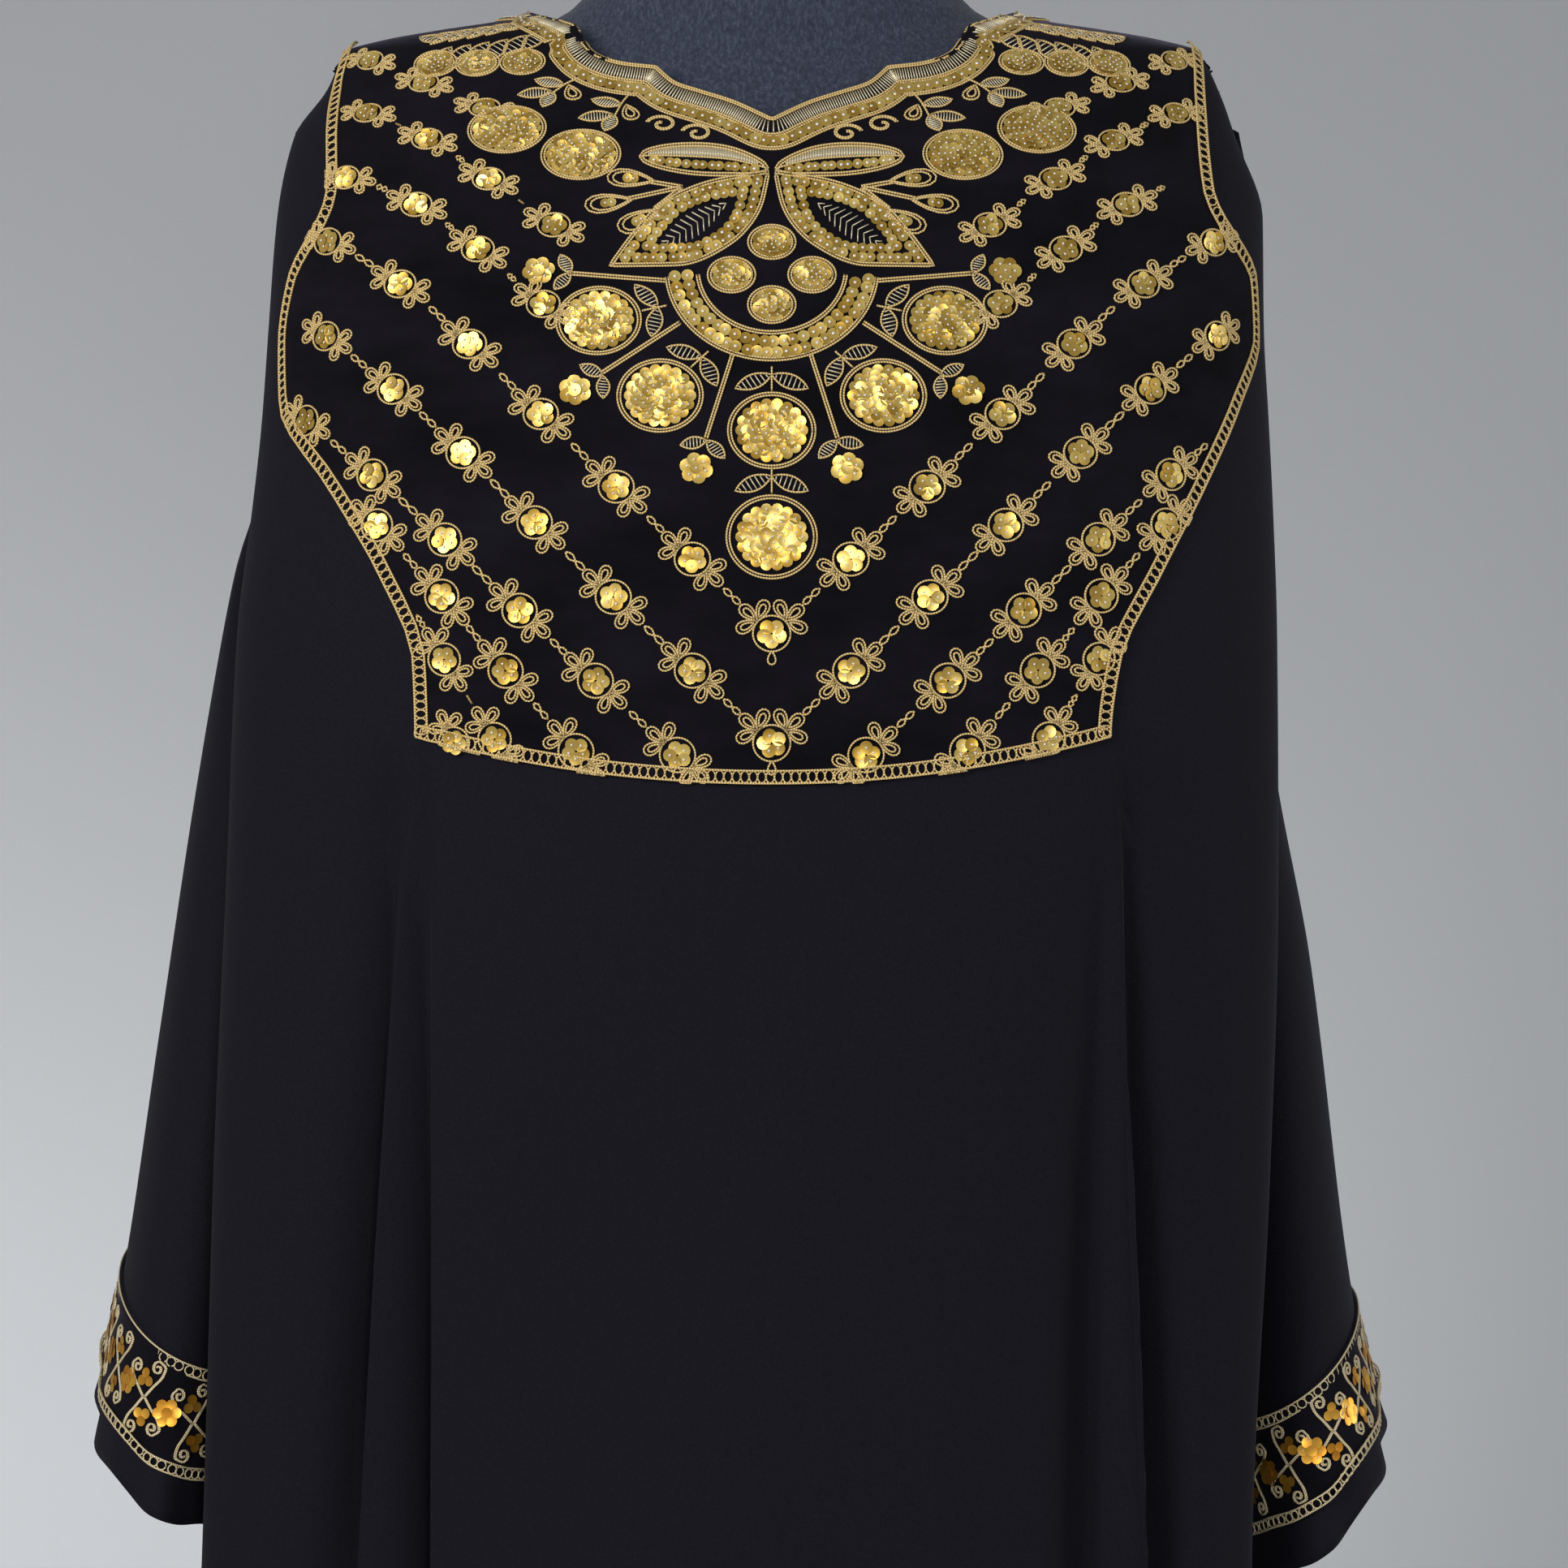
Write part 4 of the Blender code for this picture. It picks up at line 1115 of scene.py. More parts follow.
def ladder_leaf(spot, root, heading, length, width, rungs):
    """Corded leaf with thread laid across it."""
    spot.draw(turned(lens(length, width), heading, root))
    for k in range(rungs):
        s = 0.12 + 0.76 * k / (rungs - 1)
        half = lens_half(width, s) - CORD
        rung = [(-half, s * length - 0.3 * MM), (0.0, s * length), (half, s * length + 0.3 * MM)]
        strand(spot.cloth.ladder, *spot.path(turned(rung, heading, root)), RUNG, sides=3)


def medallion(spot, radius, rings):
    """Doubled cord ring filled with rings of overlapping sequins, the outer ones laid first."""
    spot.draw(ring(radius))
    spot.draw(ring(radius - 2 * CORD_SPACE - 0.2 * MM))
    for order, (count, reach) in enumerate(rings):
        for k in range(count):
            turn = 2 * math.pi * (k + 0.5 * (order % 2)) / count
            spot.sequin(reach * math.cos(turn), reach * math.sin(turn), SCALE,
                        lift=(0.6 + 0.25 * order) * MM, tilt=0.20, bead=0.50 * MM)


# Scales of the medallions: their radius, and rings of them with the count and the distance from the centre
SCALE = 2.5 * MM
BIG_RINGS = ((18, 13.0 * MM), (15, 10.5 * MM), (12, 8.0 * MM), (9, 5.5 * MM), (5, 2.9 * MM), (1, 0.0))
SMALL_RINGS = ((11, 6.0 * MM), (7, 3.8 * MM), (4, 1.8 * MM))

# Rows of small motifs in nested V lines: height at the middle, slope, bend, first motif, pitch, size
ROWS = (
    (1.3700, 0.400, 0.0, 0.1251, 0.0330, 0.92),
    (1.3062, 0.680, 4.0, 0.0937, 0.0362, 0.94),
    (1.2583, 0.800, 5.5, 0.0978, 0.0385, 0.96),
    (1.1989, 0.930, 4.2, 0.0000, 0.0452, 1.00),
    (1.1522, 0.920, 2.3, 0.0000, 0.0455, 1.00),
    (1.1108, 0.904, 1.8, 0.0401, 0.0455, 1.00),
    (1.0541, 1.129, 2.4, 0.0834, 0.0440, 1.00),
    (0.9692, 1.550, 0.0, 0.1184, 0.0400, 0.95),
    (0.8515, 2.200, 0.0, 0.1360, 0.0380, 0.90),
)
ROW_BEND_FROM = 0.13
ROW_STEP = 1.2 * MM
EDGE_MARGIN = 8.0 * MM
UNIT_REACH = 16.5 * MM
LINK_WAVE = 1.3 * MM


# Unit of the rows: ring, flower, sequin, root of its loops, a loop's length, width and turn
UNIT_RING = 7.6 * MM
UNIT_FLOWER = 3.3 * MM
UNIT_SEQUIN = 2.9 * MM
LOOP_ROOT = 7.8 * MM
LOOP_LENGTH = 9.4 * MM
LOOP_WIDTH = 5.4 * MM
LOOP_TURN = 1.20


def row_unit(spot, arms, size=1.0):
    """Ringed sequin flower with a trefoil of loops on each arm; the spot's +b runs along the row."""
    spot.draw(ring(UNIT_RING * size))
    flower(spot, 5, UNIT_FLOWER * size, UNIT_SEQUIN * size, middle=False)
    for heading in arms:
        root = (LOOP_ROOT * size * math.sin(heading), LOOP_ROOT * size * math.cos(heading))
        petals(spot, root, heading, (0.0, LOOP_TURN, -LOOP_TURN), LOOP_LENGTH * size, LOOP_WIDTH * size)


def walk(cloth, row, side):
    """Points of the cloth along a row, from its first motif out to the panel's edge."""
    foot, slope, bend, x = row[:4]
    points, facing = [], []
    while True:
        z = foot + slope * x - bend * max(0.0, x - ROW_BEND_FROM) ** 2
        if x > panel_edge(side, z) - EDGE_MARGIN:
            return np.array(points), np.array(facing)
        place, out = cloth.seen(side * x, z)
        points.append(place)
        facing.append(out)
        x += ROW_STEP


def row_of_units(cloth, row, side):
    points, facing = walk(cloth, row, side)
    if len(points) < 3:
        return
    slope, first, pitch, size = row[1], row[3], row[4], row[5]
    gone = walked(points)
    last = len(points) - 1
    reach = UNIT_REACH * size
    number = 0
    centre = 0.0
    while centre <= gone[-1]:
        i = min(int(np.searchsorted(gone, centre)), last)
        ahead = points[min(i + 4, last)] - points[max(i - 4, 0)]
        if number > 0 or first > 0.0:
            row_unit(Spot(cloth, points[i], facing[i], ahead), (0.0, math.pi), size)
        elif side > 0:
            tilt = math.atan2(1.0, slope)
            spot = Spot(cloth, points[0], facing[0])
            row_unit(spot, (tilt, -tilt), 1.05)
            spot.draw(turned(teardrop(6.0 * MM, 3.6 * MM), math.pi, (0.0, -LOOP_ROOT)))
        some = [k for k, g in enumerate(gone) if centre + reach <= g <= centre + pitch - reach]
        if len(some) > 2:
            across = np.cross(ahead / np.linalg.norm(ahead), facing[i])
            wave = [math.sin(2 * math.pi * k / (len(some) - 1)) * LINK_WAVE for k in range(len(some))]
            for sign in (-1, 1):
                moved = [p + sign * w * across for p, w in zip(points[some], wave)]
                strand(cloth.cords, moved, facing[some])
        centre += pitch
        number += 1


def seen_spot(cloth, x, z, mirror=1, ahead=(0.0, 0.0, 1.0)):
    place, facing = cloth.seen(x, z)
    return Spot(cloth, place, facing, ahead, mirror)


def front_path(cloth, points):
    """Cord path from places in the front view."""
    found = [cloth.seen(x, z) for x, z in points]
    return np.array([p for p, n in found]), np.array([n for p, n in found])


def smooth(points, count):
    """Even points on a soft curve through a few given ones."""
    gone = walked(np.asarray(points, dtype=float))
    table = [(g, *p) for g, p in zip(gone, points)]
    places = [gone[-1] * i / (count - 1) for i in range(count)]
    return [(curve(table, 1, place), curve(table, 2, place)) for place in places]


def mirrored(points, side):
    return [(side * x, z) for x, z in points]


def beside(points, distance):
    """A flat path moved sideways."""
    points = np.asarray(points, dtype=float)
    along = unit(np.gradient(points, axis=0))
    return points + distance * np.stack([along[:, 1], -along[:, 0]], axis=1)


def front_cord(cloth, points, closed=False, pairs=(-1, 1)):
    for sign in pairs:
        strand(cloth.cords, *front_path(cloth, beside(points, sign * CORD_SPACE)), closed=closed)


def sequin_line(cloth, path, facing, spacing, size):
    """Sequins one after another, each lying on the one before."""
    gone = walked(path)
    for k in range(int(gone[-1] / spacing) + 1):
        i = min(int(np.searchsorted(gone, k * spacing)), len(path) - 1)
        disc(cloth, path[i], facing[i], size, tilt=0.13, bead=0.70 * MM)


def polar(reach, heading):
    """Place on a drawing board at a distance, clockwise from +b."""
    return (reach * math.sin(heading), reach * math.cos(heading))


def leaf_pair(spot, root, heading, length, width, spread):
    for angle in (-spread, spread):
        ladder_leaf(spot, root, heading + angle, length, width, 7)


def stem_and_flower(cloth, start, end, side):
    """Cord stem from the crescent to a sequin flower with two leaves."""
    (x0, z0), (x1, z1) = start, end
    points = [(side * (x0 + (x1 - x0) * t), z0 + (z1 - z0) * t) for t in np.linspace(0, 1, 24)]
    front_cord(cloth, points[:-6])
    spot = seen_spot(cloth, side * x1, z1, side)
    flower(spot, 6, *STEM_FLOWER)
    away = math.atan2(x0 - x1, z0 - z1)
    leaf_pair(spot, polar(14 * MM, away), away + math.pi, *STEM_LEAF, 1.05)


def stem_and_leaves(spot, radius, away, root_at, leaf, spread, stem_end):
    """Short stem and two leaves between the crescent and a hanging medallion."""
    leaf_pair(spot, polar((radius + root_at) * MM, away), away + math.pi, *leaf, spread)
    spot.draw([polar((radius + k) * MM, away) for k in range(1, stem_end)], closed=False)


PANEL_CLOTH = Cloth(VELVET_TREE)

# Medallions beside the neck and round the crescent: place and radius in millimetres
NECK_MEDALLIONS = ((0.1150, 1.4110, 17.4), (0.0825, 1.4000, 17.3))
SHOULDER_MEDALLIONS = ((0.1478, 1.4395, 10.0), (0.1290, 1.4395, 10.0), (0.1090, 1.4400, 10.0))
PENDANTS = ((0.0740, 1.3298, 18.3), (0.0475, 1.2985, 18.3))
MIDDLE_PENDANTS = ((1.2840, 18.6), (1.2395, 19.2))
CRESCENT_Z = 1.3515
CRESCENT = 45.0 * MM
CRESCENT_FLAT = 0.84
CRESCENT_TURNS = np.linspace(math.pi * 1.03, math.pi * 1.97, 90)
CRESCENT_DISCS = ((0.0, 1.3628), (-0.0172, 1.3490), (0.0172, 1.3490), (0.0, 1.3365))
STEMS = (
    ((0.0450, 1.3465), (0.1000, 1.3505)),
    ((0.0390, 1.3290), (0.0838, 1.3005)),
    ((0.0165, 1.3160), (0.0320, 1.2682)),
)
BUDS = ((0.0595, 1.3895), (0.0690, 1.3795), (0.0560, 1.3725))
BUD_ROOT = (0.0385, 1.3860)
BUD_LENGTH = 21.0 * MM
BUD_WIDTH = 12.0 * MM
BUD_SEQUINS = (0.0, 2.72 * MM)
STEM_FLOWER = (4.2 * MM, 3.1 * MM)
STEM_LEAF = (11.5 * MM, 5.6 * MM)
PENDANT_LEAF = (16 * MM, 6.8 * MM)
MIDDLE_LEAF = (17 * MM, 7.0 * MM)
LEAF_SPREAD = 1.15
CRESCENT_CORDS = (1.0, 0.705)
CRESCENT_ROWS = (0.925, 0.805)

# Upper leaf and big leaf, on the right-hand side
UPPER_LEAF = ((0.0020, 1.3938), (0.0200, 1.3968), (0.0400, 1.3980), (0.0565, 1.3990))
UPPER_LEAF_POINTS = 40
BIG_LEAF_TOP = ((0.0015, 1.3925), (0.0250, 1.3885), (0.0455, 1.3800), (0.0585, 1.3670), (0.0690, 1.3530))
BIG_LEAF_LOW = ((0.0015, 1.3925), (0.0050, 1.3780), (0.0170, 1.3630), (0.0400, 1.3535), (0.0690, 1.3530))
BIG_LEAF_POINTS = 44
BIG_LEAF_MIDDLE = (0.0300, 1.3715)
BIG_LEAF_SPINE = ((0.0185, 1.3800), (0.0455, 1.3625))
VEINS = 11


def upper_leaf(cloth, side):
    """Laid thread along the leaf's upper edge, sequins below."""
    line = smooth(mirrored(UPPER_LEAF, side), UPPER_LEAF_POINTS)
    bulge = np.sin(math.pi * np.linspace(0, 1, UPPER_LEAF_POINTS)) ** 0.5

    def lifted(amount):
        return [(x, z + amount * MM * b) for (x, z), b in zip(line, bulge)]

    upper, lower, middle = (np.array(lifted(amount)) for amount in (6.6, -5.8, 1.4))
    front_cord(cloth, np.concatenate([upper, lower[::-1][1:-1]]), closed=True)
    front_cord(cloth, middle, pairs=(0,))
    for k in range(3, UPPER_LEAF_POINTS - 3):
        for part in (0.0, 0.5):
            a = upper[k] + part * (upper[k + 1] - upper[k])
            b = middle[k] + part * (middle[k + 1] - middle[k])
            strand(cloth.ladder, *front_path(cloth, [a, (a + b) / 2, b]), RUNG, sides=3)
    sequin_line(cloth, *front_path(cloth, lifted(-2.1)[4:36]), 3.6 * MM, 2.2 * MM)


def big_leaf(cloth, side):
    """Two rows of sequins inside the cord, open veins in the middle."""
    top, low = (smooth(mirrored(edge, side), BIG_LEAF_POINTS) for edge in (BIG_LEAF_TOP, BIG_LEAF_LOW))
    points = np.array(top + low[::-1][1:-1])
    front_cord(cloth, points, closed=True)
    centre = np.array(mirrored([BIG_LEAF_MIDDLE], side))
    for share, size in ((0.84, 2.4 * MM), (0.62, 2.3 * MM)):
        inner = centre + (points - centre) * share
        sequin_line(cloth, *front_path(cloth, np.concatenate([inner, inner[:1]])), 3.9 * MM, size)
    spine_from, spine_to = np.array(mirrored(BIG_LEAF_SPINE, side))
    along = (spine_to - spine_from) / np.linalg.norm(spine_to - spine_from)
    across = np.array((along[1], -along[0]))
    for k in range(VEINS):
        spine = spine_from + (spine_to - spine_from) * (k + 0.5) / VEINS
        half = 5.0 * MM * math.sin(math.pi * (k + 1.2) / (VEINS + 1.4))
        for sign in (-1, 1):
            tip = spine + across * half * sign + along * 2.6 * MM
            strand(cloth.ladder, *front_path(cloth, [spine, (spine + tip) / 2, tip]), RUNG, sides=3)


def buds(cloth, side):
    """Buds on short stems above the big leaf."""
    shape = teardrop(BUD_LENGTH, BUD_WIDTH)
    for x, z in BUDS:
        spot = seen_spot(cloth, side * x, z, side)
        heading = math.atan2(x - BUD_ROOT[0], z - BUD_ROOT[1])
        base = polar(-9.5 * MM, heading)
        spot.draw(turned(shape, heading, base))
        spot.draw(turned([(a * 0.72, 1.4 * MM + b * 0.82) for a, b in shape], heading, base))
        for reach in BUD_SEQUINS:
            spot.sequin(*polar(reach, heading), 2.2 * MM)
        stem_x, stem_z = polar(7.0 * MM, heading)
        front_cord(cloth, smooth(mirrored([BUD_ROOT, (x - stem_x, z - stem_z)], side), 10))


def crescent(cloth):
    """Two rows of sequins between cords, with four sequin discs inside."""

    def arc(share):
        reach = CRESCENT * share
        high = CRESCENT_FLAT * reach
        return [(reach * math.cos(t), CRESCENT_Z + high * math.sin(t)) for t in CRESCENT_TURNS]

    for x, z in CRESCENT_DISCS:
        medallion(seen_spot(cloth, x, z), 10.2 * MM, SMALL_RINGS)
    for share in CRESCENT_CORDS:
        front_cord(cloth, arc(share))
    for share in CRESCENT_ROWS:
        sequin_line(cloth, *front_path(cloth, arc(share)), 4.3 * MM, 2.7 * MM)


def central_motif(cloth):
    for side in (-1, 1):
        upper_leaf(cloth, side)
        big_leaf(cloth, side)
        buds(cloth, side)
    crescent(cloth)
    for side in (-1, 1):
        for start, end in STEMS:
            stem_and_flower(cloth, start, end, side)
        for x, z, radius in PENDANTS:
            spot = seen_spot(cloth, side * x, z, side)
            medallion(spot, radius * MM, BIG_RINGS)
            stem_and_leaves(spot, radius, math.atan2(-x, CRESCENT_Z - z), 8, PENDANT_LEAF, LEAF_SPREAD, 13)
    for z, radius in MIDDLE_PENDANTS:
        spot = seen_spot(cloth, 0.0, z)
        medallion(spot, radius * MM, BIG_RINGS)
        stem_and_leaves(spot, radius, 0.0, 9, MIDDLE_LEAF, LEAF_SPREAD, 14)


# Neck band: distance of each cord from the rim in millimetres, and how far its path is softened
NECK_MIDDLE = np.array((0.0, 0.0, 1.485))
NECK_STEP = 0.55 * MM
NECK_CORDS = ((0.7, 1), (1.7, 1), (8.8, 9), (9.9, 9), (15.6, 15), (16.7, 15))
NECK_THREAD_FROM = (2.3, 3)
NECK_THREAD_TO = (8.2, 9)
NECK_SEQUINS = (12.7, 13)


def neck_band(cloth):
    """Cords, laid thread and sequins that follow the neckline from shoulder seam to shoulder seam."""
    columns = [j for j, place in enumerate(FRONT_ACROSS) if place[1] <= NECK_COLUMN]
    rim, rim_out = resampled(FRONT[0, columns], NECK_STEP, FRONT_OUT[1, columns])

    def softened(path, soften):
        padded = np.pad(path, ((soften // 2, soften // 2), (0, 0)), mode="edge")
        box = np.ones(soften) / soften
        return np.stack([np.convolve(padded[:, k], box, mode="valid") for k in range(3)], axis=1)

    def inward(distance, soften):
        soft_rim = softened(rim, soften)
        along = unit(np.gradient(soft_rim, axis=0))
        down = np.cross(along, rim_out)
        down *= np.sign(np.sum(down * (soft_rim - NECK_MIDDLE), axis=1, keepdims=True))
        down = unit(softened(down, soften))
        found = [cloth.nearest(p) for p in soft_rim + down * distance * MM]
        return np.array([p for p, n in found]), np.array([n for p, n in found])

    for distance, soften in NECK_CORDS:
        path, facing = inward(distance, soften)
        strand(cloth.cords, path[::2], facing[::2], lift=1.5 if soften == 1 else 0.8)
    outer, outer_n = inward(*NECK_THREAD_FROM)
    inner, inner_n = inward(*NECK_THREAD_TO)
    for k in range(2, len(outer) - 2, 2):
        place, facing = cloth.nearest((outer[k] + inner[k]) / 2)
        rung, rung_out = [outer[k], place, inner[k]], [outer_n[k], facing, inner_n[k]]
        strand(cloth.ladder, rung, rung_out, 0.36 * MM, sides=3)
    sequin_line(cloth, *inward(*NECK_SEQUINS), 4.2 * MM, 2.8 * MM)


# Sprigs below the neck band: where the stem leaves the band, and where it ends
SPRIGS = ((0.0837, 1.4331, 0.0950, 1.4266), (0.0611, 1.4267, 0.0680, 1.4165))
CURLS = ((0.0475, 1.4128), (0.0322, 1.4090))

# Feathered leaves over the shoulder: rows below the shoulder line in millimetres, and places across
FEATHER_ROWS = (1.6, 5.0, 9.2)
FEATHER_FROM = 0.1065
FEATHER_PITCH = 8.2 * MM
FEATHERS = 6
FEATHER = (15 * MM, 8.0 * MM, 6)
SPRIG_LEAVES = (((1 * MM, 1 * MM), 1.75, 15 * MM, 7.5 * MM, 10), ((0.0, 0.0), 2.80, 12 * MM, 6.5 * MM, 8))


def sprig(cloth, side, x, z, x_end, z_end):
    bend = (0.45 * x + 0.55 * x_end, 0.55 * z + 0.45 * z_end)
    front_cord(cloth, smooth(mirrored([(x, z), bend, (x_end, z_end)], side), 18), pairs=(0,))
    spot = seen_spot(cloth, side * x_end, z_end, side)
    for leaf in SPRIG_LEAVES:
        ladder_leaf(spot, *leaf)
    spot = seen_spot(cloth, side * (0.4 * x + 0.6 * x_end), 0.4 * z + 0.6 * z_end, side)
    ladder_leaf(spot, (0.0, 1 * MM), 1.25, 14 * MM, 7 * MM, 10)
    petals(spot, (-2 * MM, 1 * MM), 3.45, (0.0,), 12 * MM, 7.5 * MM)


def curl(spot):
    for grow in (0.0, 0.9):
        turns = [(math.pi * 0.5 - 0.33 * k, (0.8 + 0.24 * k + grow) * MM) for k in range(24)]
        spot.draw([(r * math.cos(t), r * math.sin(t)) for t, r in turns], closed=False)


def feathers(cloth, side):
    for row, drop in enumerate(FEATHER_ROWS):
        for k in range(FEATHERS):
            x = FEATHER_FROM + FEATHER_PITCH * k + 4.0 * MM * (row % 2)
            spot = seen_spot(cloth, side * x, ridge(x) - drop * MM, side, (side, 0.0, -0.2))
            spot.flat = 0.0
            ladder_leaf(spot, (0.0, -7.0 * MM), -0.75 if row % 2 else 0.75, *FEATHER)


def neck_sprigs(cloth):
    for side in (-1, 1):
        for places, rings in ((NECK_MEDALLIONS, BIG_RINGS), (SHOULDER_MEDALLIONS, SMALL_RINGS)):
            for x, z, radius in places:
                medallion(seen_spot(cloth, side * x, z, side), radius * MM, rings)
        for places in SPRIGS:
            sprig(cloth, side, *places)
        for x, z in CURLS:
            curl(seen_spot(cloth, side * x, z, side))
        feathers(cloth, side)


def chain(cloth, path, facing, inside, edges, edge_radius, middle, links, ahead, link):
    """Rings of cord between two cords that run along a rim."""
    for distance in edges:
        strand(cloth.cords, path + inside * distance * MM, facing, edge_radius)
    for i in links:
        spot = Spot(cloth, path[i] + inside[i] * middle * MM, facing[i], ahead[i])
        loop = [spot.place + a * spot.right + b * spot.up for a, b in link]
        strand(cloth.cords, loop, [facing[i]] * len(loop), LINK_CORD, closed=True)


def panel_chain(cloth):
    """Open chain along the sides and the foot of the panel."""
    last = len(panel_rows) - 1

    def rim_of(grid):
        return np.concatenate([grid[1:last, 0], grid[last], grid[1:last, -1][::-1]])

    rim, rim_out = resampled(rim_of(PANEL), 1.2 * MM, rim_of(PANEL_OUT))
    rim_out /= np.linalg.norm(rim_out, axis=1, keepdims=True)
    along = unit(np.gradient(rim, axis=0))
    link = [(a * 1.15, b * 0.80) for a, b in ring(2.2 * MM, 12)]
    chain(cloth, rim + rim_out * VELVET_OUT, rim_out, np.cross(rim_out, along), (0.9, 6.3), 0.55 * MM, 3.6,
          range(1, len(rim) - 1, 3), along, link)


neck_band(PANEL_CLOTH)
neck_sprigs(PANEL_CLOTH)
central_motif(PANEL_CLOTH)
neck_cords = PANEL_CLOTH.cords.build("neck_cord_embroidery", GOLD_LOOK, "twist")
PANEL_CLOTH.cords = Bundle()
panel_chain(PANEL_CLOTH)
for row in ROWS:
    for side in (-1, 1):
        row_of_units(PANEL_CLOTH, row, side)
panel_cords = PANEL_CLOTH.cords.build("panel_cord_embroidery", GOLD_LOOK, "twist")
panel_ladder = PANEL_CLOTH.ladder.build("panel_laid_thread", SILVER_LOOK, None)
panel_sequins = PANEL_CLOTH.sequins.build("panel_sequins", SEQUIN_LOOK, "shade")
panel_beads = PANEL_CLOTH.beads.build("panel_beads", BEAD_LOOK, None)

CUFF_REPEATS = 16
CUFF_ARM = ((0.0, 0.0), (0.30, 5.0 * MM), (0.62, 10.0 * MM), (0.72, 14.0 * MM), (0.45, 17.0 * MM))
CURL_PLACE = (0.42, 13.6 * MM)
CURL_RADIUS = 3.3 * MM
TREFOIL_AT = 8.6 * MM
TREFOIL = 2.4 * MM
ROSETTE = 4.1 * MM
ROSETTE_SEQUIN = 2.6 * MM


def cuff_arm(half):
    """One quarter of the cuff's trellis: a stem that ends in a curl."""
    arm = smooth([(a * half, b) for a, b in CUFF_ARM], 16)
    for j in range(1, 13):
        turn = math.pi / 2 + 0.62 * j
        reach = CURL_RADIUS * (1 - j / 15)
        x = CURL_PLACE[0] * half + reach * math.cos(turn) * 0.9
        arm.append((x, CURL_PLACE[1] + reach * math.sin(turn)))
    return arm


def cuff(side, word):
    points, facing = SLEEVE_GRIDS[side]
    first = len(points) - 1 - HEM_ROWS - CUFF_ROWS
    band = points[first:first + CUFF_ROWS + 1]
    band_out = facing[first:first + CUFF_ROWS + 1]
    base = shell("cuff_ground_" + word, band, band_out, VELVET_LIFT, VELVET_OUT, VELVET_LOOK)
    cloth = Cloth(tree_of(band, band_out, VELVET_OUT))
    out = band_out[CUFF_ROWS // 2]
    middle = band[CUFF_ROWS // 2] + out * VELVET_OUT
    gone = walked(middle)
    girth = gone[-1]

    def spot_at(distance):
        at = distance % girth
        place, facing = ([np.interp(at, gone, line[:, k]) for k in range(3)] for line in (middle, out))
        return Spot(cloth, np.array(place), np.array(facing))

    period = girth / CUFF_REPEATS
    arm = cuff_arm(period / 2)
    for k in range(CUFF_REPEATS):
        spot = spot_at((k + 0.5) * period)
        for flip in (-1, 1):
            for up in (-1, 1):
                for shift in (0.0, 0.8 * MM):
                    strand(cloth.cords, *spot.path([(flip * (a + shift), up * b) for a, b in arm]), LINK_CORD)
        for up in (-1, 1):
            for j in range(3):
                turn = up * math.pi / 2 + 2 * math.pi * j / 3
                y = up * TREFOIL_AT + TREFOIL * math.sin(turn)
                spot.sequin(TREFOIL * math.cos(turn), y, TREFOIL, bead=0)
        spot = spot_at(k * period)
        for j in range(7):
            reach, lift = (ROSETTE, 0.7 * MM) if j < 6 else (0.0, 1.1 * MM)
            turn = math.pi / 3 * j
            spot.sequin(reach * math.cos(turn), reach * math.sin(turn), ROSETTE_SEQUIN, lift=lift, bead=0)
    for up, row in ((-1, CUFF_ROWS), (1, 0)):
        path, normal = resampled(band[row] + band_out[row] * VELVET_OUT, CORD_STEP, band_out[row])
        normal /= np.linalg.norm(normal, axis=1, keepdims=True)
        count = int(walked(band[row] + band_out[row] * VELVET_OUT)[-1] / (4.4 * MM))
        links = [min(int(k * len(path) / count), len(path) - 1) for k in range(count)]
        inside = np.tile((0.0, 0.0, -float(up)), (len(path), 1))
        link = ring(2.1 * MM, 12)
        chain(cloth, path, normal, inside, (0.7, 6.0), 0.5 * MM, 3.35, links, np.abs(inside), link)
    cords = cloth.cords.build("cuff_cords_" + word, PALE_LOOK, "twist")
    sequins = cloth.sequins.build("cuff_sequins_" + word, CUFF_SEQUIN_LOOK, "shade")
    return base, cords, sequins


CUFFS = {side: cuff(side, word) for side, word in ((-1, "left"), (1, "right"))}

for piece, node, flat, held, rests, area in (
    (front, "front", (0.80, 1.42), "hung", ["form_jersey"], 1.00),
    (back, "back", (0.70, 1.42), "hung", ["form_jersey"], 0.87),
    (sleeves[-1], "sleeve_left", (0.47, 0.62), "hung", ["abaya_front", "abaya_back"], 0.150),
    (sleeves[1], "sleeve_right", (0.47, 0.62), "hung", ["abaya_front", "abaya_back"], 0.150),
    (velvet, "chest_panel", (0.44, 0.35), "laid", ["abaya_front"], 0.134),
):
    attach(piece, "root")
    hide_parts(node)
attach(form, "root")
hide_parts("form_torso")
for piece, slot_name in (
    (neck_cords, "gold_cord"),
    (panel_cords, "gold_cord"),
    (panel_ladder, "pale_gold_thread"),
    (panel_sequins, "gold_cord"),
    (panel_beads, "pale_gold_thread"),
):
    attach(piece, "root")
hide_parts("neck_trim")
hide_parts("panel_braid")
for side, word in ((-1, "left"), (1, "right")):
    ground, cords, sequins = CUFFS[side]
    for piece in CUFFS[side]:
        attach(piece, "root")
    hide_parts("cuff_band_" + word)


FLOOR_HALF = 5.0
WALL_HALF = 0.95
WALL_Y = 1.6
WALL_TOP = 1.75
PHOTO_SIZE = 1932
SENSOR = 36.0
CAMERA_FOCAL_PX = 5404.0
CAMERA_X = 0.0052
CAMERA_AWAY = 2.0
CAMERA_Z = 1.40
CAMERA_AIM_Z = 1.113
WHITE = (1.0, 1.0, 1.0)

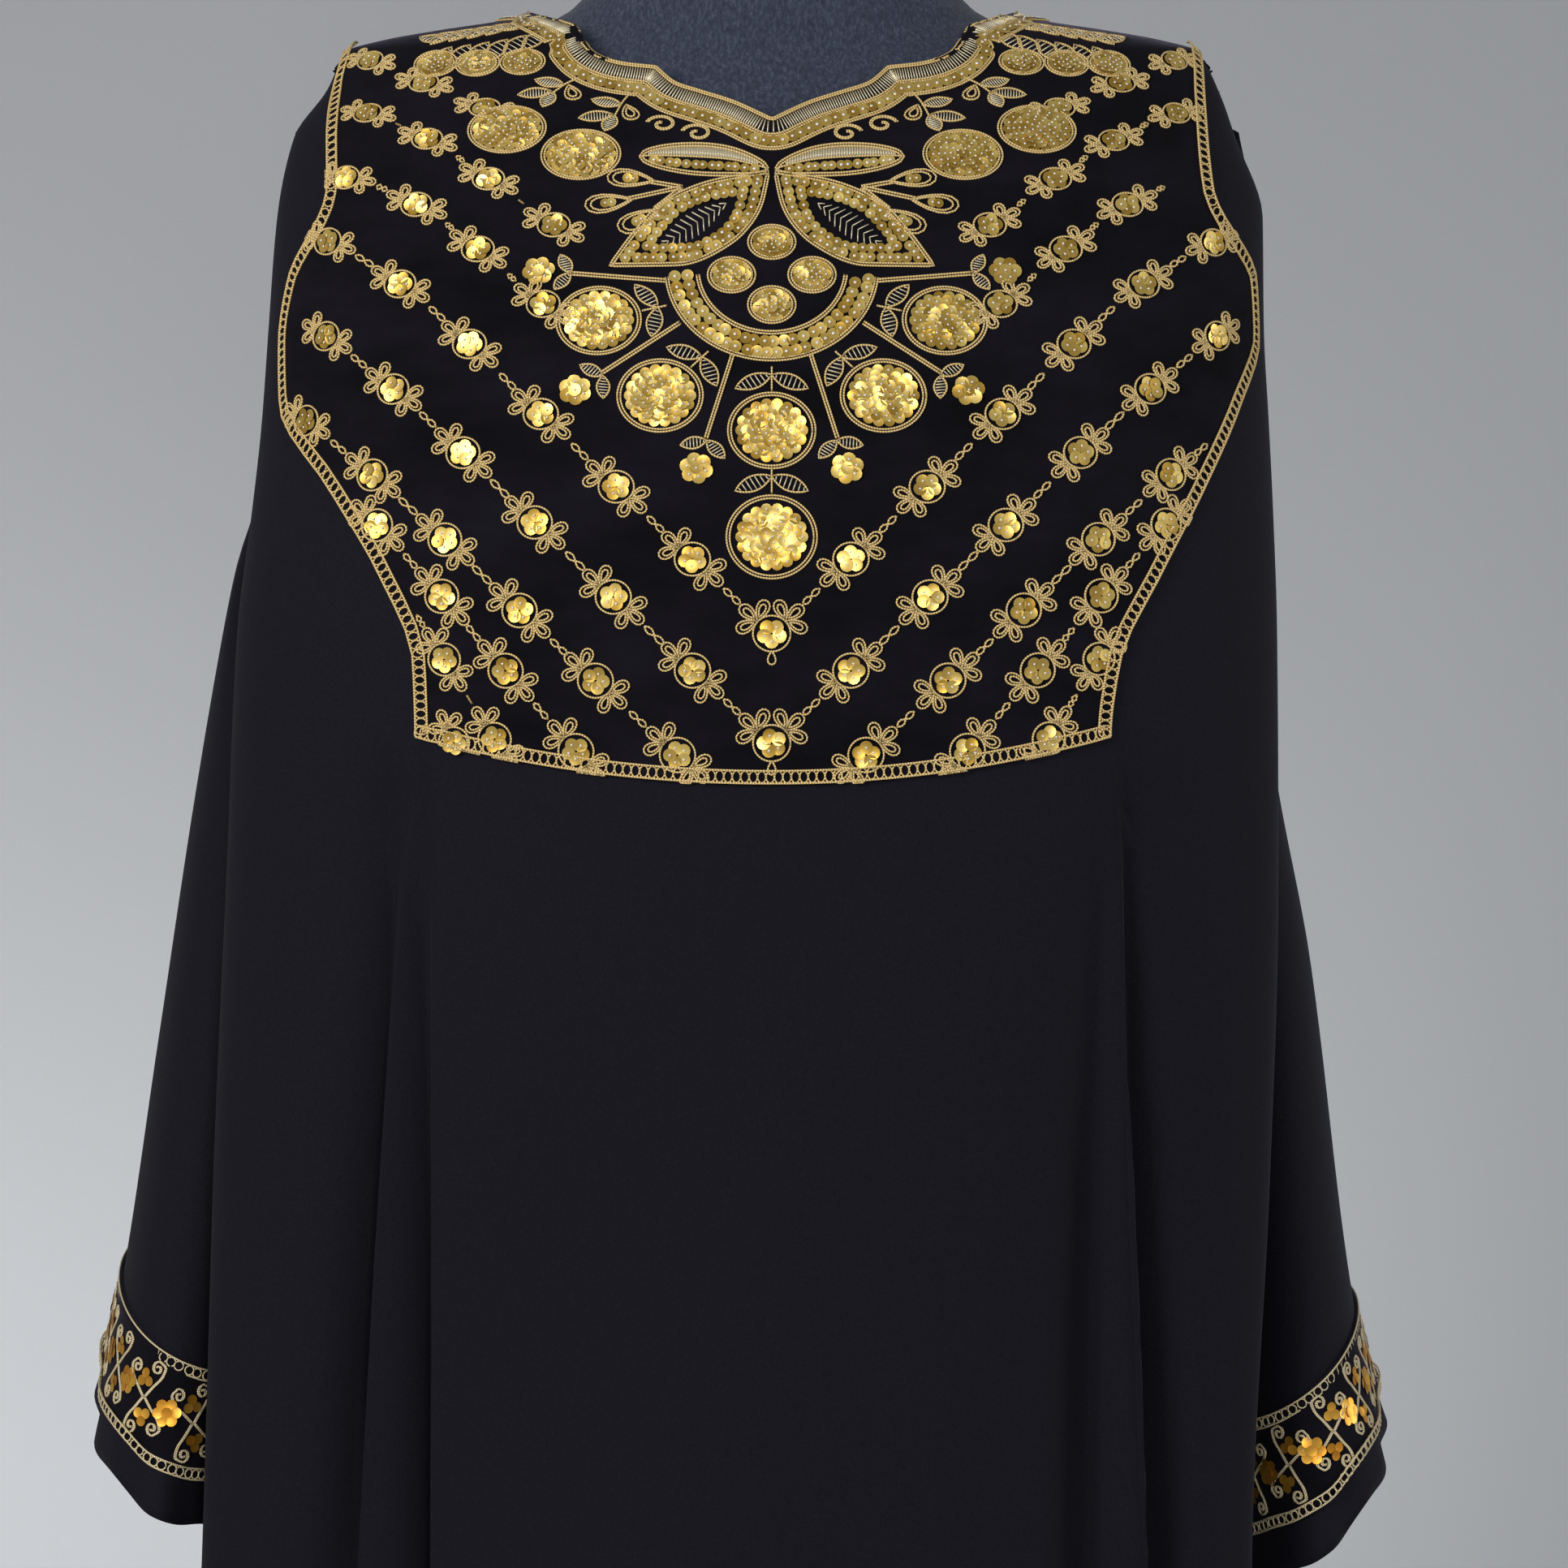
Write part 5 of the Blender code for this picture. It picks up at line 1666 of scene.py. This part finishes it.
# Area lights: name, place, what it faces, width, height, watts, colour
LIGHTS = (
    ("key_left", (-1.9, -2.2, 2.3), (0.0, 0.0, 1.1), 1.2, 1.2, 50.0, (1.0, 0.98, 0.95)),
    ("fill_right", (2.4, -1.2, 1.6), (0.1, 0.0, 1.0), 1.2, 1.6, 4.0, (0.94, 0.97, 1.0)),
    ("front_low", (0.30, -2.7, 1.6), (0.15, 0.0, 1.0), 0.5, 0.5, 15.0, WHITE),
    ("side_right", (2.2, 0.15, 1.3), (0.25, 0.0, 0.95), 0.5, 1.2, 8.0, (0.93, 0.95, 1.0)),
    ("wall_wash", (-0.60, 0.65, 0.12), (-0.55, 1.6, 0.58), 2.0, 0.3, 14.5, WHITE),
)


def stage_plane(name, corners, colour, roughness):
    look = shader(name, colour, roughness)[0]
    new_object(name, corners, [(0, 1, 2, 3)], look, False)


def area_light(name, place, target, width, height, power, colour):
    data = bpy.data.lights.new(name, "AREA")
    data.shape = "RECTANGLE"
    data.size = width
    data.size_y = height
    data.energy = power
    data.color = colour
    made = bpy.data.objects.new(name, data)
    made.location = place
    made.rotation_euler = (Vector(target) - Vector(place)).to_track_quat("-Z", "Y").to_euler()
    bpy.context.scene.collection.objects.link(made)


def camera():
    data = bpy.data.cameras.new("camera")
    data.sensor_width = SENSOR
    data.lens = CAMERA_FOCAL_PX / PHOTO_SIZE * SENSOR
    data.clip_end = 50.0
    made = bpy.data.objects.new("camera", data)
    made.location = (SHIFT[0] + CAMERA_X, SHIFT[1] - CAMERA_AWAY, CAMERA_Z)
    tilt = math.atan((CAMERA_Z - CAMERA_AIM_Z) / CAMERA_AWAY)
    made.rotation_euler = (math.pi / 2 - tilt, 0.0, 0.0)
    bpy.context.scene.collection.objects.link(made)
    bpy.context.scene.camera = made


for name in ("stand_pole", "stand_base", "neck_cap"):
    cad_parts[name].data.materials[0] = wood_material() if name == "neck_cap" else steel_material()

bpy.context.scene.view_settings.view_transform = "Standard"
corners = ((-1, 0), (1, 0), (1, 1), (-1, 1))
floor = [(FLOOR_HALF * x, FLOOR_HALF * (2 * far - 1), 0) for x, far in corners]
wall = [(WALL_HALF * x, WALL_Y, WALL_TOP * high) for x, high in corners]
stage_plane("studio_floor", floor, (0.48, 0.47, 0.465), 0.9)
stage_plane("studio_wall", wall, (0.410, 0.422, 0.440), 0.95)
world = bpy.data.worlds.new("studio")
world.use_nodes = True
sky = world.node_tree.nodes["Background"].inputs
sky["Color"].default_value = (0.80, 0.83, 0.88, 1.0)
sky["Strength"].default_value = 0.27
bpy.context.scene.world = world
for light in LIGHTS:
    area_light(*light)
camera()
